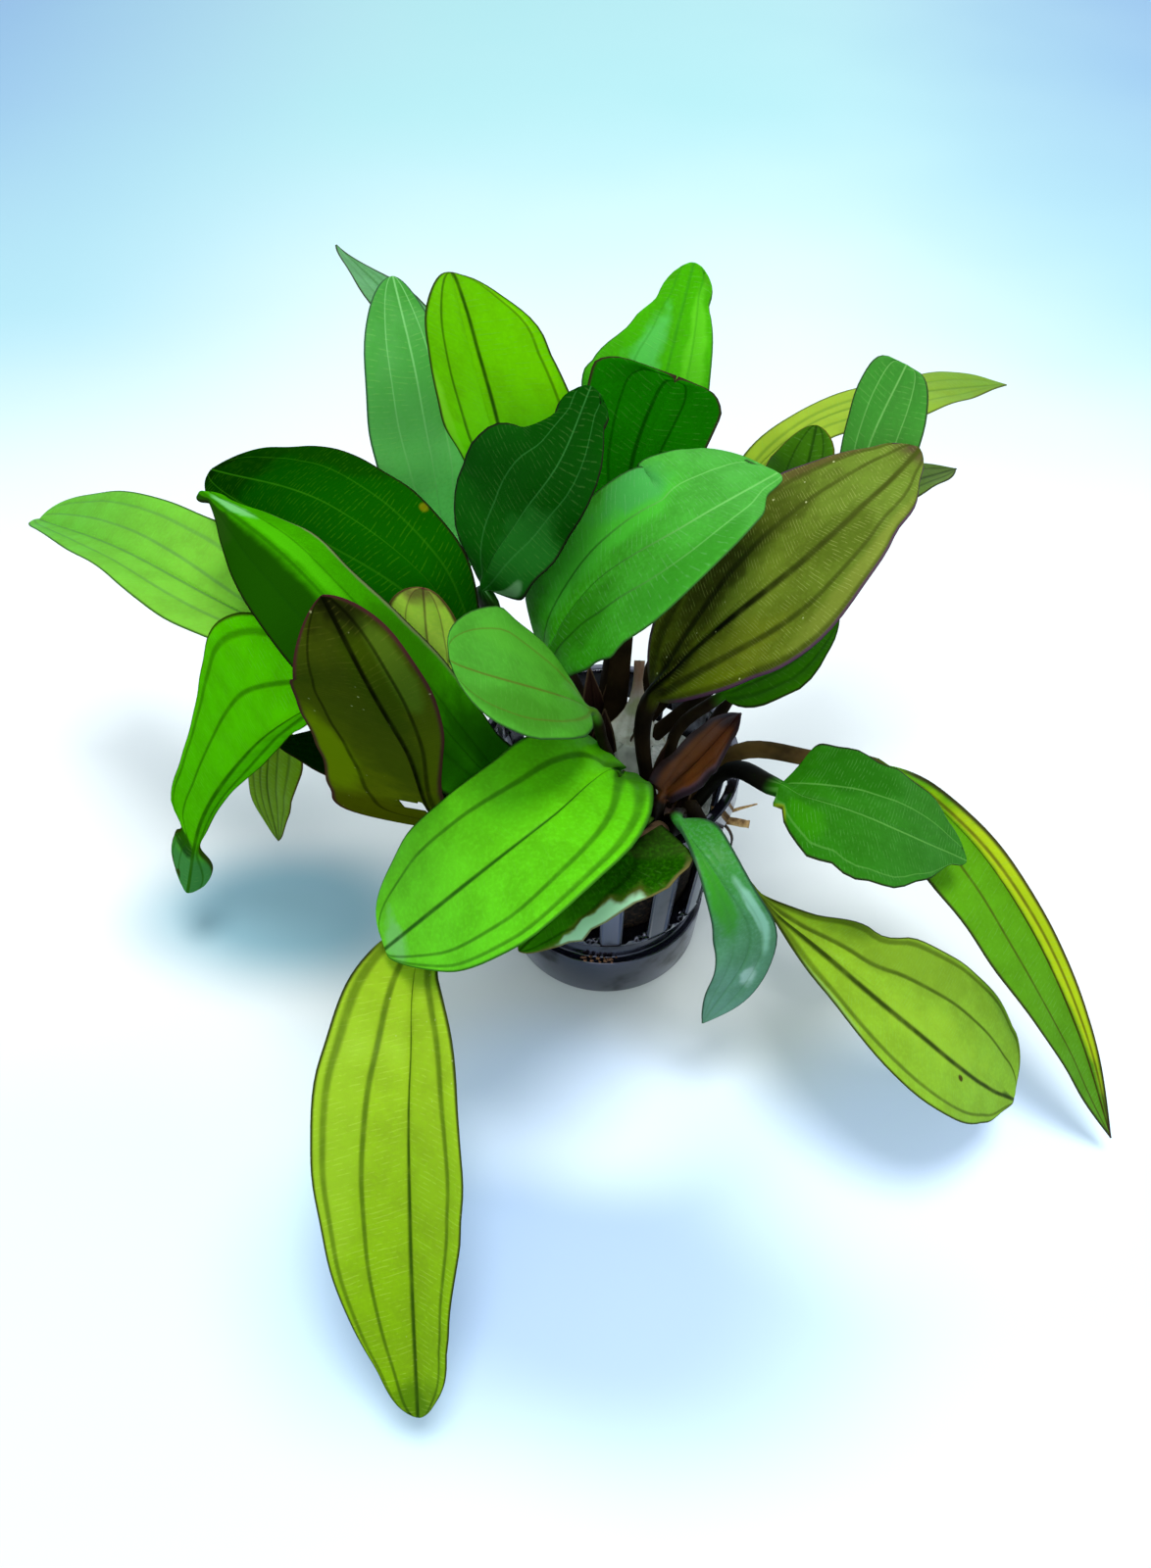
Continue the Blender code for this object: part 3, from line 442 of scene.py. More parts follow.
        (0.41, 0.72, 0.05, 0.012, (70, 50, 10), 0.95, 0.4),
        (0.2, 0.96, 0.2, 0.03, (60, 104, 20), 0.7, 0.5)), bulges=((0.25, 0.1, 1.2, 0),
        (0.38, 0.08, -0.9, 0), (0.9, 0.06, 0, 0.6), (0.96, 0.05, 0.8, 0))),
    "young_red": Look((112, 62, 20), (84, 44, 20), (60, 20, 10), edge=(20, 8, 20), veins=0.3, ladder=0,
        rim=1.4, lines=(-0.5, 0.5), glow=0.2, shine=0.3,
        patches=((0, 1.02, 1.4, 0.2, (24, 8, 14), 0.9, 0.4),
        (0.95, 0.5, 0.3, 0.5, (92, 70, 88), 0.8, 0.4), (0, 0.3, 0.5, 0.2, (60, 34, 18), 0.6, 0.9)),
        bulges=((0.7, 0.1, 0, 1.2), (0.87, 0.08, 0.3, -0.7))),
    # front_twisted: its pale bluish tip colour is a painted sheen
    "front_twisted": Look((56, 148, 44), (104, 154, 132), (60, 130, 60), shine=0.12, veins=0.3,
        ladder=0.05, lines=(-0.5, 0.5), edge=(40, 70, 50),
        patches=((0.5, 0.3, 0.45, 0.24, (56, 152, 26), 0.85, 0.4),
        # Painted sheen and glints: the two pale bluish patches below
        (-0.6, 0.46, 0.25, 0.2, (160, 214, 190), 0.8, 0.3),
        (-0.4, 0.74, 0.3, 0.06, (190, 220, 214), 0.6, 0.8))),
    "front_low": Look((20, 68, 1), (54, 128, 6), (6, 26, 1), edge=(110, 100, 60), glow=0.2, shine=0,
        stalk=(110, 88, 66), lines=(-0.6, 0.5), ladder=0.05,
        patches=((-1, 0.5, 0.46, 0.34, (140, 116, 60), 0.8, 0.5),
        (-1, 0.5, 0.34, 0.28, (176, 224, 190), 0.95, 0.5, 0.3)), bulges=((0.15, 0.06, 0.6, 0),
        (0.3, 0.1, -0.8, 0), (0.58, 0.08, 0.9, 0))),
    "front_round": Look((78, 160, 38), (80, 164, 50), (96, 100, 34), veins=0.7, vein_width=0.7,
        midrib=-0.1, lines=(-0.68, 0.68), ladder=0.06, edge=(50, 90, 40),
        patches=((-0.6, 0.7, 0.4, 0.3, (62, 130, 27), 0.6, 0.4),
        (0.6, 0.6, 0.3, 0.3, (88, 176, 50), 0.6, 0.4)), bulges=((0.05, 0.12, -1.6, -1.6),)),
    "front_bright": Look((102, 204, 8), (112, 210, 40), (26, 84, 10), edge=(60, 120, 30), veins=0.9,
        glow=0.5, lines=(-0.9, -0.68, 0.7), vein_width=1.1, ladder=0.04,
        # Painted sheen: the greyish patch near the tip at (-0.3, 0.95)
        patches=((-0.3, 0.95, 0.8, 0.06, (138, 204, 130), 0.6, 0.7),
        (0, 0.0, 0.06, 0.02, (230, 240, 210), 0.9, 0.8)), lobes=(3.5, 1.5),
        bulges=((0.5, 0.12, 0.8, 0.5),)),
    "front_long": Look((168, 202, 46), (136, 180, 12), (48, 84, 8), edge=(30, 36, 20), veins=0.95,
        glow=0.5, lines=(-0.75, 0.55, 0.9), ladder=0.26, ladder_colour=(206, 234, 96), specks=0.3,
        vein_width=1.2, patches=((0.9, 0.4, 0.4, 0.3, (164, 200, 50), 0.5, 0.3),
        (0, 1.02, 1.3, 0.12, (84, 130, 10), 0.8, 0.3)), crest=-1.2, bulges=((0.45, 0.12, 0.8, 0),
        (0.7, 0.12, -1, 0), (0.9, 0.08, 1, 0), (1, 0.12, 1, 1))),
}


def unit(vectors):
    """Vectors scaled to length 1."""
    return vectors / np.linalg.norm(vectors, axis=-1, keepdims=True)


def smooth_path(points):
    """Centripetal Catmull-Rom curve through the points, with the length along it."""
    nodes = np.array([2 * np.array(points[0]) - points[1], *points,
                      2 * np.array(points[-1]) - points[-2]], dtype=float)
    u = np.linspace(0, 1, SPAN_SAMPLES, endpoint=False)[:, None]
    spans = []
    for p0, p1, p2, p3 in zip(nodes, nodes[1:], nodes[2:], nodes[3:]):
        d0, d1, d2 = (np.linalg.norm(b - a) ** 0.5 for a, b in ((p0, p1), (p1, p2), (p2, p3)))
        start = (p2 - p1) + d1 * ((p1 - p0) / d0 - (p2 - p0) / (d0 + d1))
        end = (p2 - p1) + d1 * ((p3 - p2) / d2 - (p3 - p1) / (d1 + d2))
        spans.append(p1 * (2 * u**3 - 3 * u**2 + 1) + start * (u**3 - 2 * u**2 + u)
                     + p2 * (3 * u**2 - 2 * u**3) + end * (u**3 - u**2))
    path = np.vstack([*spans, nodes[-2:-1]])
    length = np.concatenate([[0], np.cumsum(np.linalg.norm(np.diff(path, axis=0), axis=1))])
    return path, length


def along(path, length, distances):
    """Points at the given distances along a path."""
    return np.stack([np.interp(distances, length, path[:, axis]) for axis in range(3)], -1)


def half_width(widths, ends, t):
    """Half width of a blade at t, which runs from 0 at the foot to 1 at the tip."""
    foot, tip = ends
    w1, w2, w3 = np.array(widths) / (STATIONS**foot * (1 - STATIONS)**tip)
    t1, t2, t3 = STATIONS
    middle = (w1 * (t - t2) * (t - t3) / ((t1 - t2) * (t1 - t3))
              + w2 * (t - t1) * (t - t3) / ((t2 - t1) * (t2 - t3))
              + w3 * (t - t1) * (t - t2) / ((t3 - t1) * (t3 - t2)))
    return t**foot * (1 - t)**tip * middle


def smoothstep(low, high, x):
    """0 below low, 1 above high, and smooth between them."""
    share = np.clip((x - low) / (high - low), 0, 1)
    return share * share * (3 - 2 * share)


def gather(t):
    """Power that draws the side veins together towards the foot of a blade."""
    return 1 + VEIN_GATHER * (1 - np.clip(t, 0, 1))**3


def columns(lines):
    """Places across a blade from -1 to 1, close together at the midrib and the side veins."""
    half = {0, 0.025, 0.055, 0.1, 0.18, 0.28, 0.5, 0.62, 0.82, 0.9, 0.955, 0.985, 1}
    places = {-share for share in half} | half
    for line in lines:
        places |= {round(line + step, 3) for step in (-0.04, -0.015, 0.015, 0.04)}
    return np.array(sorted(place for place in places if abs(place) <= 1))


class Spine:
    """The line of a leaf from its rhizome up the stalk and the midrib, with the blade's axes."""

    def __init__(self, leaf):
        bearing = math.radians(leaf.root[0])
        outwards = np.array([math.sin(bearing), math.cos(bearing)]) * leaf.root[1]
        foot = (*(leaf.crown + outwards), STALK_START)
        below = (*(leaf.crown + FOOT_GATHER * outwards), STALK_START - FOOT_DEPTH)
        self.path, self.length = smooth_path([below, foot, *leaf.stalk, *leaf.blade])
        self.blade_start = self.length[(2 + len(leaf.stalk)) * SPAN_SAMPLES]
        self.blade_length = self.length[-1] - self.blade_start
        ahead = np.subtract(leaf.blade[-1], leaf.blade[0])[:2]
        if leaf.heading is not None:
            ahead = np.array([math.sin(math.radians(leaf.heading)),
                              math.cos(math.radians(leaf.heading))])
        self.sideways = unit(np.array([ahead[1], -ahead[0], 0.0]))
        self.roll = math.radians(leaf.roll)

    def direction(self, distances, reach):
        """Unit vectors along the line."""
        before = np.clip(distances - reach, 0, self.length[-1])
        after = np.clip(distances + reach, 0, self.length[-1])
        return unit(along(self.path, self.length, after) - along(self.path, self.length, before))

    def blade_frame(self, t):
        """Midrib points, and unit vectors along, across to the right and up, at t."""
        distances = self.blade_start + self.blade_length * t
        tangent = self.direction(distances, TANGENT_REACH * self.blade_length)
        across = unit(self.sideways - tangent * (tangent @ self.sideways)[:, None])
        up = np.cross(across, tangent)
        rolled = across * math.cos(self.roll) + up * math.sin(self.roll)
        up = up * math.cos(self.roll) - across * math.sin(self.roll)
        return along(self.path, self.length, distances), tangent, rolled, up


def stalk_sections(leaf, look, spine):
    """Upper and lower points of the stalk's sections, each at the places across a blade."""
    _, _, (blade_across, *_), _ = spine.blade_frame(np.array([0.0, 1.0]))
    places = columns(look.lines)
    count = max(4, int(spine.blade_start / STALK_STEP))
    height = np.sqrt(1 - places**2)
    upper, lower, marks = [], [], []
    for distance in np.linspace(0, spine.blade_start, count, endpoint=False):
        centre = along(spine.path, spine.length, np.array([distance]))[0]
        tangent = spine.direction(np.array([distance]), 1.0)[0] if distance else UPWARD
        across = unit(blade_across - tangent * (tangent @ blade_across))
        up = np.cross(across, tangent)
        radius = np.interp(distance, [0, spine.blade_start], leaf.radii)
        breadth = radius * (look.stalk_breadth + look.sheath * math.exp(-distance / SHEATH_LENGTH))
        side = breadth * np.outer(places, across)
        upper.append(centre + side + radius * np.outer(height, up))
        lower.append(centre + side - radius * np.outer(height, up))
        share = distance / spine.blade_start - 1
        marks.append([(s, share, breadth) for s in places])
    return np.array(upper), np.array(lower), np.array(marks)


def blade_sections(leaf, look, spine, seed):
    """Upper and lower points of the blade, quilted between its veins and waved at its edges."""
    count = max(12, int(spine.blade_length / BLADE_STEP))
    t = 0.5 - 0.5 * np.cos(np.linspace(0, np.pi, count))
    middle, tangent, across, up = (value[:, None, :] for value in spine.blade_frame(t))
    t = t[:, None]
    places = columns(look.lines)[None, :]
    opening = smoothstep(0, 0.12, t)
    share = np.abs(places)**gather(t)
    side = np.sign(places)
    right = places > 0

    rib = RIB_TIP + (leaf.radii[1] - RIB_TIP) * (1 - t)**2
    ragged = 1 + 0.012 * np.sin(23 * t + seed) * np.sin(11 * t + 2 * seed)
    width = np.where(right, half_width(leaf.right, leaf.ends, t),
                     half_width(leaf.left, leaf.ends, t)) * ragged
    for centre, reach, left, out in look.bulges:
        bell = np.clip(1 - ((t - centre) / reach)**2, 0, 1)**2
        width = width + bell * np.where(right, out, left)
    width = np.maximum(width, 0)
    width = np.sqrt(width**2 + rib**2)
    fold = np.radians(np.where(right, leaf.fold[1], leaf.fold[0])) * opening
    curl = np.radians(np.where(right, look.curl[1], look.curl[0])) * opening + 1e-4
    turn = fold + curl * share
    sideways = width * (np.sin(turn) - np.sin(fold)) / curl
    lift = width * (np.cos(fold) - np.cos(turn)) / curl
    facing = up * np.cos(turn)[..., None] - across * (side * np.sin(turn))[..., None]

    height, count_of_waves, start = look.wave
    phase = start + np.where(right, 0.37, 0)
    wave = height * share**2 * np.sin(math.tau * (count_of_waves * t + phase)) * np.sin(np.pi * t)
    bands = sorted({-1, *look.lines, 0, 1})
    quilt = sum(np.where((places >= low) & (places < high),
                         np.sin(np.pi * (places - low) / (high - low)), 0)
                for low, high in zip(bands, bands[1:]))
    quilt = QUILT_HEIGHT * quilt * np.minimum(width / 8, 1) * opening
    behind = leaf.lobe + np.where(right, look.lobes[1], look.lobes[0])
    back = behind * share**2 * (1 - t)**4
    ends_of_sides = share if look.crest > 0 else 1 - np.sqrt(1 - share**2)
    back = back - look.crest * ends_of_sides * smoothstep(0.7, 1.0, t)
    surface = (middle + across * (side * sideways)[..., None] + up * lift[..., None]
               + facing * (wave + quilt)[..., None] - tangent * back[..., None])
    ripple = np.array([[noise.noise(Vector(point) / RIPPLE_LENGTH + Vector((seed, 0, 0)))
                        for point in row] for row in surface])
    surface = surface + facing * (RIPPLE_HEIGHT * ripple * opening * share)[..., None]

    inside = np.minimum(share * width / rib, 1)
    bump = np.sqrt(1 - inside**2) * (1 - opening) + (1 - inside**2)**2 * opening
    depth = BLADE_DEPTH * (1 - 0.4 * t) * np.sqrt(1 - share**6) * np.minimum(1, 6 * t)
    veins = sum(np.exp(-((places - line) * width / 0.3)**2) for line in look.lines)
    above = depth + rib * bump * (1 - 1.15 * opening)
    below = depth + rib * bump + VEIN_DEPTH * veins * opening * (1 - t)
    closed = share < 1
    upper = surface + facing * (above * closed)[..., None]
    lower = surface - facing * (below * closed)[..., None]
    marks = np.stack(np.broadcast_arrays(places, t, width), -1)
    return upper, lower, marks


def in_hole(look, across, along_blade):
    """Whether a place on the blade lies in one of its holes."""
    return any(((across - s) / half_s)**2 + ((along_blade - t) / half_t)**2 < 1
               for s, t, half_s, half_t in look.holes)


def leaf_parts(leaf, look, seed):
    """Points, faces, marks and blade length of a leaf: a round stalk that opens into a blade."""
    spine = Spine(leaf)
    stalk = stalk_sections(leaf, look, spine)
    blade = blade_sections(leaf, look, spine, seed)
    upper, lower, marks = (np.concatenate(pair) for pair in zip(stalk, blade))
    rows, across = upper.shape[:2]
    ring = 2 * across - 2
    points = np.concatenate([upper, lower[:, -2:0:-1]], axis=1).reshape(-1, 3)
    around = np.concatenate([marks, marks[:, -2:0:-1]], axis=1).reshape(-1, 3)

    def top(i, j):
        return i * ring + j

    def bottom(i, j):
        return i * ring + (ring - j) % ring

    gone = {(i, j) for i in range(rows - 1) for j in range(across - 1)
            if in_hole(look, (marks[i, j, 0] + marks[i, j + 1, 0]) / 2,
                       (marks[i, j, 1] + marks[i + 1, j, 1]) / 2)}
    faces = []
    for i in range(rows - 1):
        for j in range(across - 1):
            cell = ((i, j), (i, j + 1), (i + 1, j + 1), (i + 1, j))
            if (i, j) not in gone:
                faces.append([top(*corner) for corner in cell])
                faces.append([bottom(*corner) for corner in cell[::-1]])
                continue
            nearby = ((i - 1, j), (i, j + 1), (i + 1, j), (i, j - 1))
            for start, end, other in zip(cell, cell[1:] + cell[:1], nearby):
                if other not in gone:
                    faces.append([top(*end), top(*start), bottom(*start), bottom(*end)])
    faces.append(list(range(ring))[::-1])
    faces.append(list(range((rows - 1) * ring, rows * ring)))
    return points, faces, around, spine.blade_length


def closed_mesh(name, points, faces):
    """A mesh from points in millimetres."""
    mesh = bpy.data.meshes.new(name)
    mesh.from_pydata((np.asarray(points) * MM).tolist(), [], faces)
    mesh.update()
    return mesh


def tidied(mesh, welded=False):
    """Loose points removed, faces turned outwards, smooth shading."""
    work = bmesh.new()
    work.from_mesh(mesh)
    if welded:
        bmesh.ops.remove_doubles(work, verts=work.verts, dist=WELD)
    bmesh.ops.delete(work, geom=[v for v in work.verts if not v.link_faces], context="VERTS")
    bmesh.ops.recalc_face_normals(work, faces=work.faces)
    work.to_mesh(mesh)
    work.free()
    mesh.shade_smooth()
    return mesh


def leaves_mesh(name, leaves):
    """One mesh of (leaf, look, seed) entries, with the marks that the materials read."""
    points, faces, marks, lengths = [], [], [], []
    for leaf, look, seed in leaves:
        own_points, own_faces, own_marks, length = leaf_parts(leaf, look, seed)
        first = sum(len(block) for block in points)
        points.append(own_points)
        marks.append(own_marks)
        lengths.append(np.full(len(own_points), length))
        faces.extend([[first + corner for corner in face] for face in own_faces])
    mesh = closed_mesh(name, np.clip(np.concatenate(points), *CAD_LIMITS), faces)
    place = mesh.attributes.new("place", "FLOAT_VECTOR", "POINT")
    place.data.foreach_set("vector", np.concatenate(marks).astype(np.float32).ravel())
    away = mesh.attributes.new("midrib_distance", "FLOAT", "POINT")
    across, ahead, width = np.concatenate(marks).T
    away.data.foreach_set("value", (np.abs(across)**gather(ahead) * width).astype(np.float32))
    run = mesh.attributes.new("blade_length", "FLOAT", "POINT")
    run.data.foreach_set("value", np.concatenate(lengths).astype(np.float32))
    return tidied(mesh)


def linear(colour):
    """An sRGB byte colour as linear values, with alpha."""
    shares = [value / 255 for value in colour]
    return (*(s / 12.92 if s <= 0.04045 else ((s + 0.055) / 1.055)**2.4 for s in shares), 1.0)


class Value:
    """An output of a material's graph that can be calculated with."""

    def __init__(self, graph, socket):
        self.graph = graph
        self.socket = socket

    def __add__(self, other):
        return self.graph.math("ADD", self, other)

    def __sub__(self, other):
        return self.graph.math("SUBTRACT", self, other)

    def __rsub__(self, other):
        return self.graph.math("SUBTRACT", other, self)

    def __mul__(self, other):
        return self.graph.math("MULTIPLY", self, other)

    def __truediv__(self, other):
        return self.graph.math("DIVIDE", self, other)

    def __abs__(self):
        return self.graph.math("ABSOLUTE", self)


class Graph:
    """A material's nodes, joined by short calls. An entry is a Value, a number or a colour."""

    def __init__(self, name):
        self.material = bpy.data.materials.new(name)
        self.material.use_nodes = True
        self.tree = self.material.node_tree
        self.shader = self.tree.nodes["Principled BSDF"]
        self.output = self.tree.nodes["Material Output"]

    def put(self, entry, socket):
        if isinstance(entry, Value):
            self.tree.links.new(entry.socket, socket)
        else:
            socket.default_value = entry

    def make(self, kind, entries, output=0, **settings):
        """One output of a new node, or all of them where output is None."""
        made = self.tree.nodes.new("ShaderNode" + kind)
        for key, value in settings.items():
            setattr(made, key, value)
        for key, entry in entries.items():
            self.put(entry, made.inputs[key])
        if output is None:
            return [Value(self, socket) for socket in made.outputs]
        return Value(self, made.outputs[output])

    def math(self, operation, *entries):
        return self.make("Math", dict(enumerate(entries)), operation=operation)

    def mix(self, factor, first, second):
        entries = {"Factor": factor, "A": first, "B": second}
        return self.make("Mix", entries, "Result", data_type="RGBA")

    def step(self, value, low, high, to_low=0.0, to_high=1.0):
        entries = dict(enumerate((value, low, high, to_low, to_high)))
        return self.make("MapRange", entries, interpolation_type="SMOOTHSTEP")

    def noise(self, vector, scale, detail=3.0, roughness=0.55):
        entries = {"Vector": vector, "Scale": scale, "Detail": detail, "Roughness": roughness}
        return self.make("TexNoise", entries, "Fac")

    def object_place(self):
        return self.make("TexCoord", {}, "Object")

    def attribute(self, name, output="Fac"):
        return self.make("Attribute", {}, output, attribute_name=name)

    def split(self, vector):
        return self.make("SeparateXYZ", {0: vector}, None)

    def far(self, x, y, centre_x, centre_y, reach_x, reach_y):
        """Distance from an ellipse's centre, 1 on its outline."""
        u = (x - centre_x) / reach_x
        v = (y - centre_y) / reach_y
        return self.math("SQRT", u * u + v * v)

    def shade(self, entries):
        for name, entry in entries.items():
            self.put(entry, self.shader.inputs[name])

    def bump(self, height, strength, distance):
        entries = {"Strength": strength, "Distance": distance, "Height": height}
        normal = self.make("Bump", entries)
        self.shade({"Normal": normal})
        return normal


def flesh_colour(g, look, t, mottle, grain):
    """Colour of the blade from foot to tip, mottled and finely grained."""
    flesh = g.mix(g.step(t, 0.05, 0.95), linear(look.flesh), linear(look.tip))
    shade = [value * 0.74 for value in look.flesh]
    flesh = g.mix(g.step(mottle, 0.35, 0.7, 0.0, 0.3), flesh, linear(shade))
    light = [min(255, value * 1.2) for value in look.tip]
    return g.mix(g.step(grain, 0.4, 0.75, 0.0, 0.2), flesh, linear(light))


def vein_mask(g, look, s, t, width, wobble):
    """The midrib and the side veins, which thin out towards the tip and the edges."""
    mask = None
    for line in (look.midrib, *look.lines):
        main = line == look.midrib
        foot = (0.7 if main else 0.45) * look.vein_width
        strength = 1.0 if main else 0.95 - 0.4 * abs(line)
        away = abs(s - line) * width / g.step(t, 0.0, 1.0, foot, foot * 0.5)
        one = g.step(away, 0.3, 1.4, strength, 0.0)
        mask = g.math("MAXIMUM", mask, one) if mask else one
    return mask * g.step(wobble, 0.2, 0.6, 0.75, 1.0)


def rung_mask(g, look, t, wobble, broken):
    """Fine cross veins, slanting away from the midrib and broken here and there."""
    away = g.attribute("midrib_distance") * RUNG_SLANT
    rung = (t * g.attribute("blade_length") - away) / look.rung + wobble * 0.9
    wave = abs(g.math("FRACT", rung) - 0.5)
    mask = g.step(wave, 0.02, 0.16, 1.0, 0.0) * g.step(broken, 0.45, 0.62, 0.05, 1.0)
    return mask * g.step(t, 0.0, 0.1)


def leaf_material(name, look, seed):
    """Flesh, veins, cross veins, edge line, patches and specks of one leaf."""
    g = Graph("look_" + name)
    s, t, width = g.split(g.attribute("place", "Vector"))
    spot = g.object_place()
    mottle = g.noise(spot, MOTTLE_SCALE + seed)
    grain = g.noise(spot, GRAIN_SCALE, detail=2.0)
    wobble = g.noise(spot, WOBBLE_SCALE, detail=2.0)
    broken = g.noise(spot, BREAK_SCALE, detail=2.0)
    colour = flesh_colour(g, look, t, mottle, grain)
    rungs = rung_mask(g, look, t, wobble, broken)
    for across, ahead, half_s, half_t, paint, strength, rough, *fade in look.patches:
        far = g.far(s, t, across, ahead, half_s, half_t) + (wobble - 0.5) * (rough * 2)
        core = 1.1 - fade[0] if fade else 0.7 - 0.42 * rough
        colour = g.mix(g.step(far, core, 1.1, strength, 0.0), colour, linear(paint))
    if look.ladder:
        colour = g.mix(rungs * look.ladder, colour, linear(look.ladder_colour))
    veins = vein_mask(g, look, s, t, width, wobble) * look.veins
    vein = g.mix(g.step(t, 0.25, 0.8), linear(look.vein), linear(look.vein_tip or look.vein))
    colour = g.mix(veins, colour, vein)

    rim = g.step((1.0 - abs(s)) * width, look.rim * 0.3, look.rim * 1.1, 0.9, 0.0)
    colour = g.mix(rim * g.step(t, 0.0, 0.06), colour, linear(look.edge))

    if look.specks:
        entries = {"Vector": spot, "Scale": SPECK_SCALE}
        distance, tint, *_ = g.make("TexVoronoi", entries, None, feature="F1")
        dot = g.step(distance, 0.14, 0.07)
        rare = g.step(g.make("SeparateColor", {0: tint}), 0.86, 0.9)
        colour = g.mix(dot * rare * look.specks, colour, linear(SPECK_COLOUR))

    stalk = g.mix(g.step(mottle, 0.3, 0.7), linear(look.stalk),
                  linear([value * 0.6 for value in look.stalk]))
    colour = g.mix(g.step(t, -0.1, 0.03), stalk, colour)
    g.shade({"Base Color": colour, "Specular IOR Level": look.shine,
             "Roughness": g.step(mottle, 0.3, 0.7, look.gloss - 0.06, look.gloss + 0.1)})
    normal = g.bump(rungs * 0.5 + grain * 0.6, 0.3, 0.0001)

    through = g.make("BsdfTranslucent", {"Color": colour, "Normal": normal})
    surface = Value(g, g.shader.outputs[0])
    both = g.make("MixShader", {0: look.glow, 1: surface, 2: through})
    g.put(both, g.output.inputs["Surface"])
    return g.material


def add_piece(name, mesh, material, replaced):
    """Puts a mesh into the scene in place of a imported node."""
    mesh.materials.append(material)
    piece = bpy.data.objects.new(name, mesh)
    bpy.context.scene.collection.objects.link(piece)
    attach(piece, "root")
    if replaced:
        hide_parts(replaced)


def place_leaf(leaf, seed):
    """Builds one leaf in place of its plain solid."""
    look = LOOKS[leaf.name]
    mesh = leaves_mesh(leaf.name + "_leaf", [(leaf, look, seed)])
    add_piece(leaf.name + "_leaf", mesh, leaf_material(leaf.name, look, seed), leaf.name)


def pot_mesh():
    """The net pot: solid band and groove, wall with slots between its ribs, and collar."""
    inside = [(0, FLOOR), (BASE_RADIUS - 2 * WALL, FLOOR), (GROOVE_RADIUS - WALL, SLOT_BOTTOM),
              (WALL_FOOT_RADIUS - WALL, SLOT_BOTTOM), (WALL_TOP_RADIUS - WALL, SLOT_TOP),
              (WALL_TOP_RADIUS - WALL, POT_HEIGHT)]
    outside = [(RIM_RADIUS, POT_HEIGHT), (RIM_RADIUS, COLLAR_FOOT),
               (WALL_TOP_RADIUS, COLLAR_FOOT), (WALL_TOP_RADIUS, SLOT_TOP),
               (WALL_FOOT_RADIUS, SLOT_BOTTOM), (WALL_FOOT_RADIUS, GROOVE_TOP),
               (GROOVE_RADIUS, GROOVE_TOP), (GROOVE_RADIUS, BAND_HEIGHT),
               (BAND_RADIUS, BAND_HEIGHT), (BASE_RADIUS, 0), (0, 0)]
    profile = inside + outside
    inner_foot, inner_head = 3, 4
    outer_head, outer_foot = len(inside) + 3, len(inside) + 4
    pitch = math.tau / SLOT_COUNT
    half_slot = SLOT_WIDTH / (WALL_FOOT_RADIUS + WALL_TOP_RADIUS)
    bearings, in_slot = [], []
    for number in range(SLOT_COUNT):
        centre = RIB_BEARING + (number + 0.5) * pitch
        rib = np.linspace(-pitch + half_slot, -half_slot, RIB_STEPS, endpoint=False)
        slot = np.linspace(-half_slot, half_slot, SLOT_STEPS, endpoint=False)
        bearings.extend(centre + np.concatenate([rib, slot]))
        in_slot.extend([False] * RIB_STEPS + [True] * SLOT_STEPS)
    steps = len(bearings)
    rows = len(profile)
    points = [(radius * math.cos(bearing), radius * math.sin(bearing), height)
              for bearing in bearings for radius, height in profile]
    faces = []
    for i in range(steps):
        j = (i + 1) % steps
        for k in range(rows - 1):
            if in_slot[i] and k in (inner_foot, outer_head):
                continue
            faces.append((i * rows + k, j * rows + k, j * rows + k + 1, i * rows + k + 1))
        if in_slot[i]:
            for a, b in ((inner_head, outer_head), (outer_foot, inner_foot)):
                faces.append((i * rows + a, j * rows + a, j * rows + b, i * rows + b))
        if in_slot[i] != in_slot[i - 1]:
            faces.append([i * rows + k for k in (inner_foot, inner_head, outer_head, outer_foot)])
    mesh = closed_mesh("net_pot_shell", points, faces)
    work = bmesh.new()
    work.from_mesh(mesh)
    bmesh.ops.remove_doubles(work, verts=work.verts, dist=WELD)
    bmesh.ops.dissolve_degenerate(work, edges=work.edges, dist=TOO_SHORT)
    sharp = [edge for edge in work.edges
             if edge.is_manifold and edge.calc_face_angle(0) > math.radians(30)]
    bmesh.ops.bevel(work, geom=sharp, offset=POT_EDGE * MM, segments=2, profile=0.6,
                    affect="EDGES", clamp_overlap=True)
    work.to_mesh(mesh)
    work.free()
    return tidied(mesh)


def turned_mesh(name, profile, steps, shift):
    """A turned solid whose points are moved by shift(point). The profile runs axis to axis."""
    points, faces = [], []
    rows = len(profile)
    for i in range(steps):
        bearing = math.tau * i / steps
        j = (i + 1) % steps
        for k, (radius, height) in enumerate(profile):
            point = Vector((radius * math.cos(bearing), radius * math.sin(bearing), height))
            points.append(point + shift(point))
            if k < rows - 1:
                faces.append((i * rows + k, j * rows + k, j * rows + k + 1, i * rows + k + 1))
    return tidied(closed_mesh(name, points, faces), welded=True)


def wool_shift(point):
    """Fibrous unevenness of the plug, none at the axis."""
    off_axis = smoothstep(0.0, 1.5, math.hypot(point.x, point.y))
    coarse = noise.noise(point / 3.2)
    fine = noise.noise(point / 0.9)
    return point.normalized() * (0.35 * coarse + 0.3 * fine) * off_axis


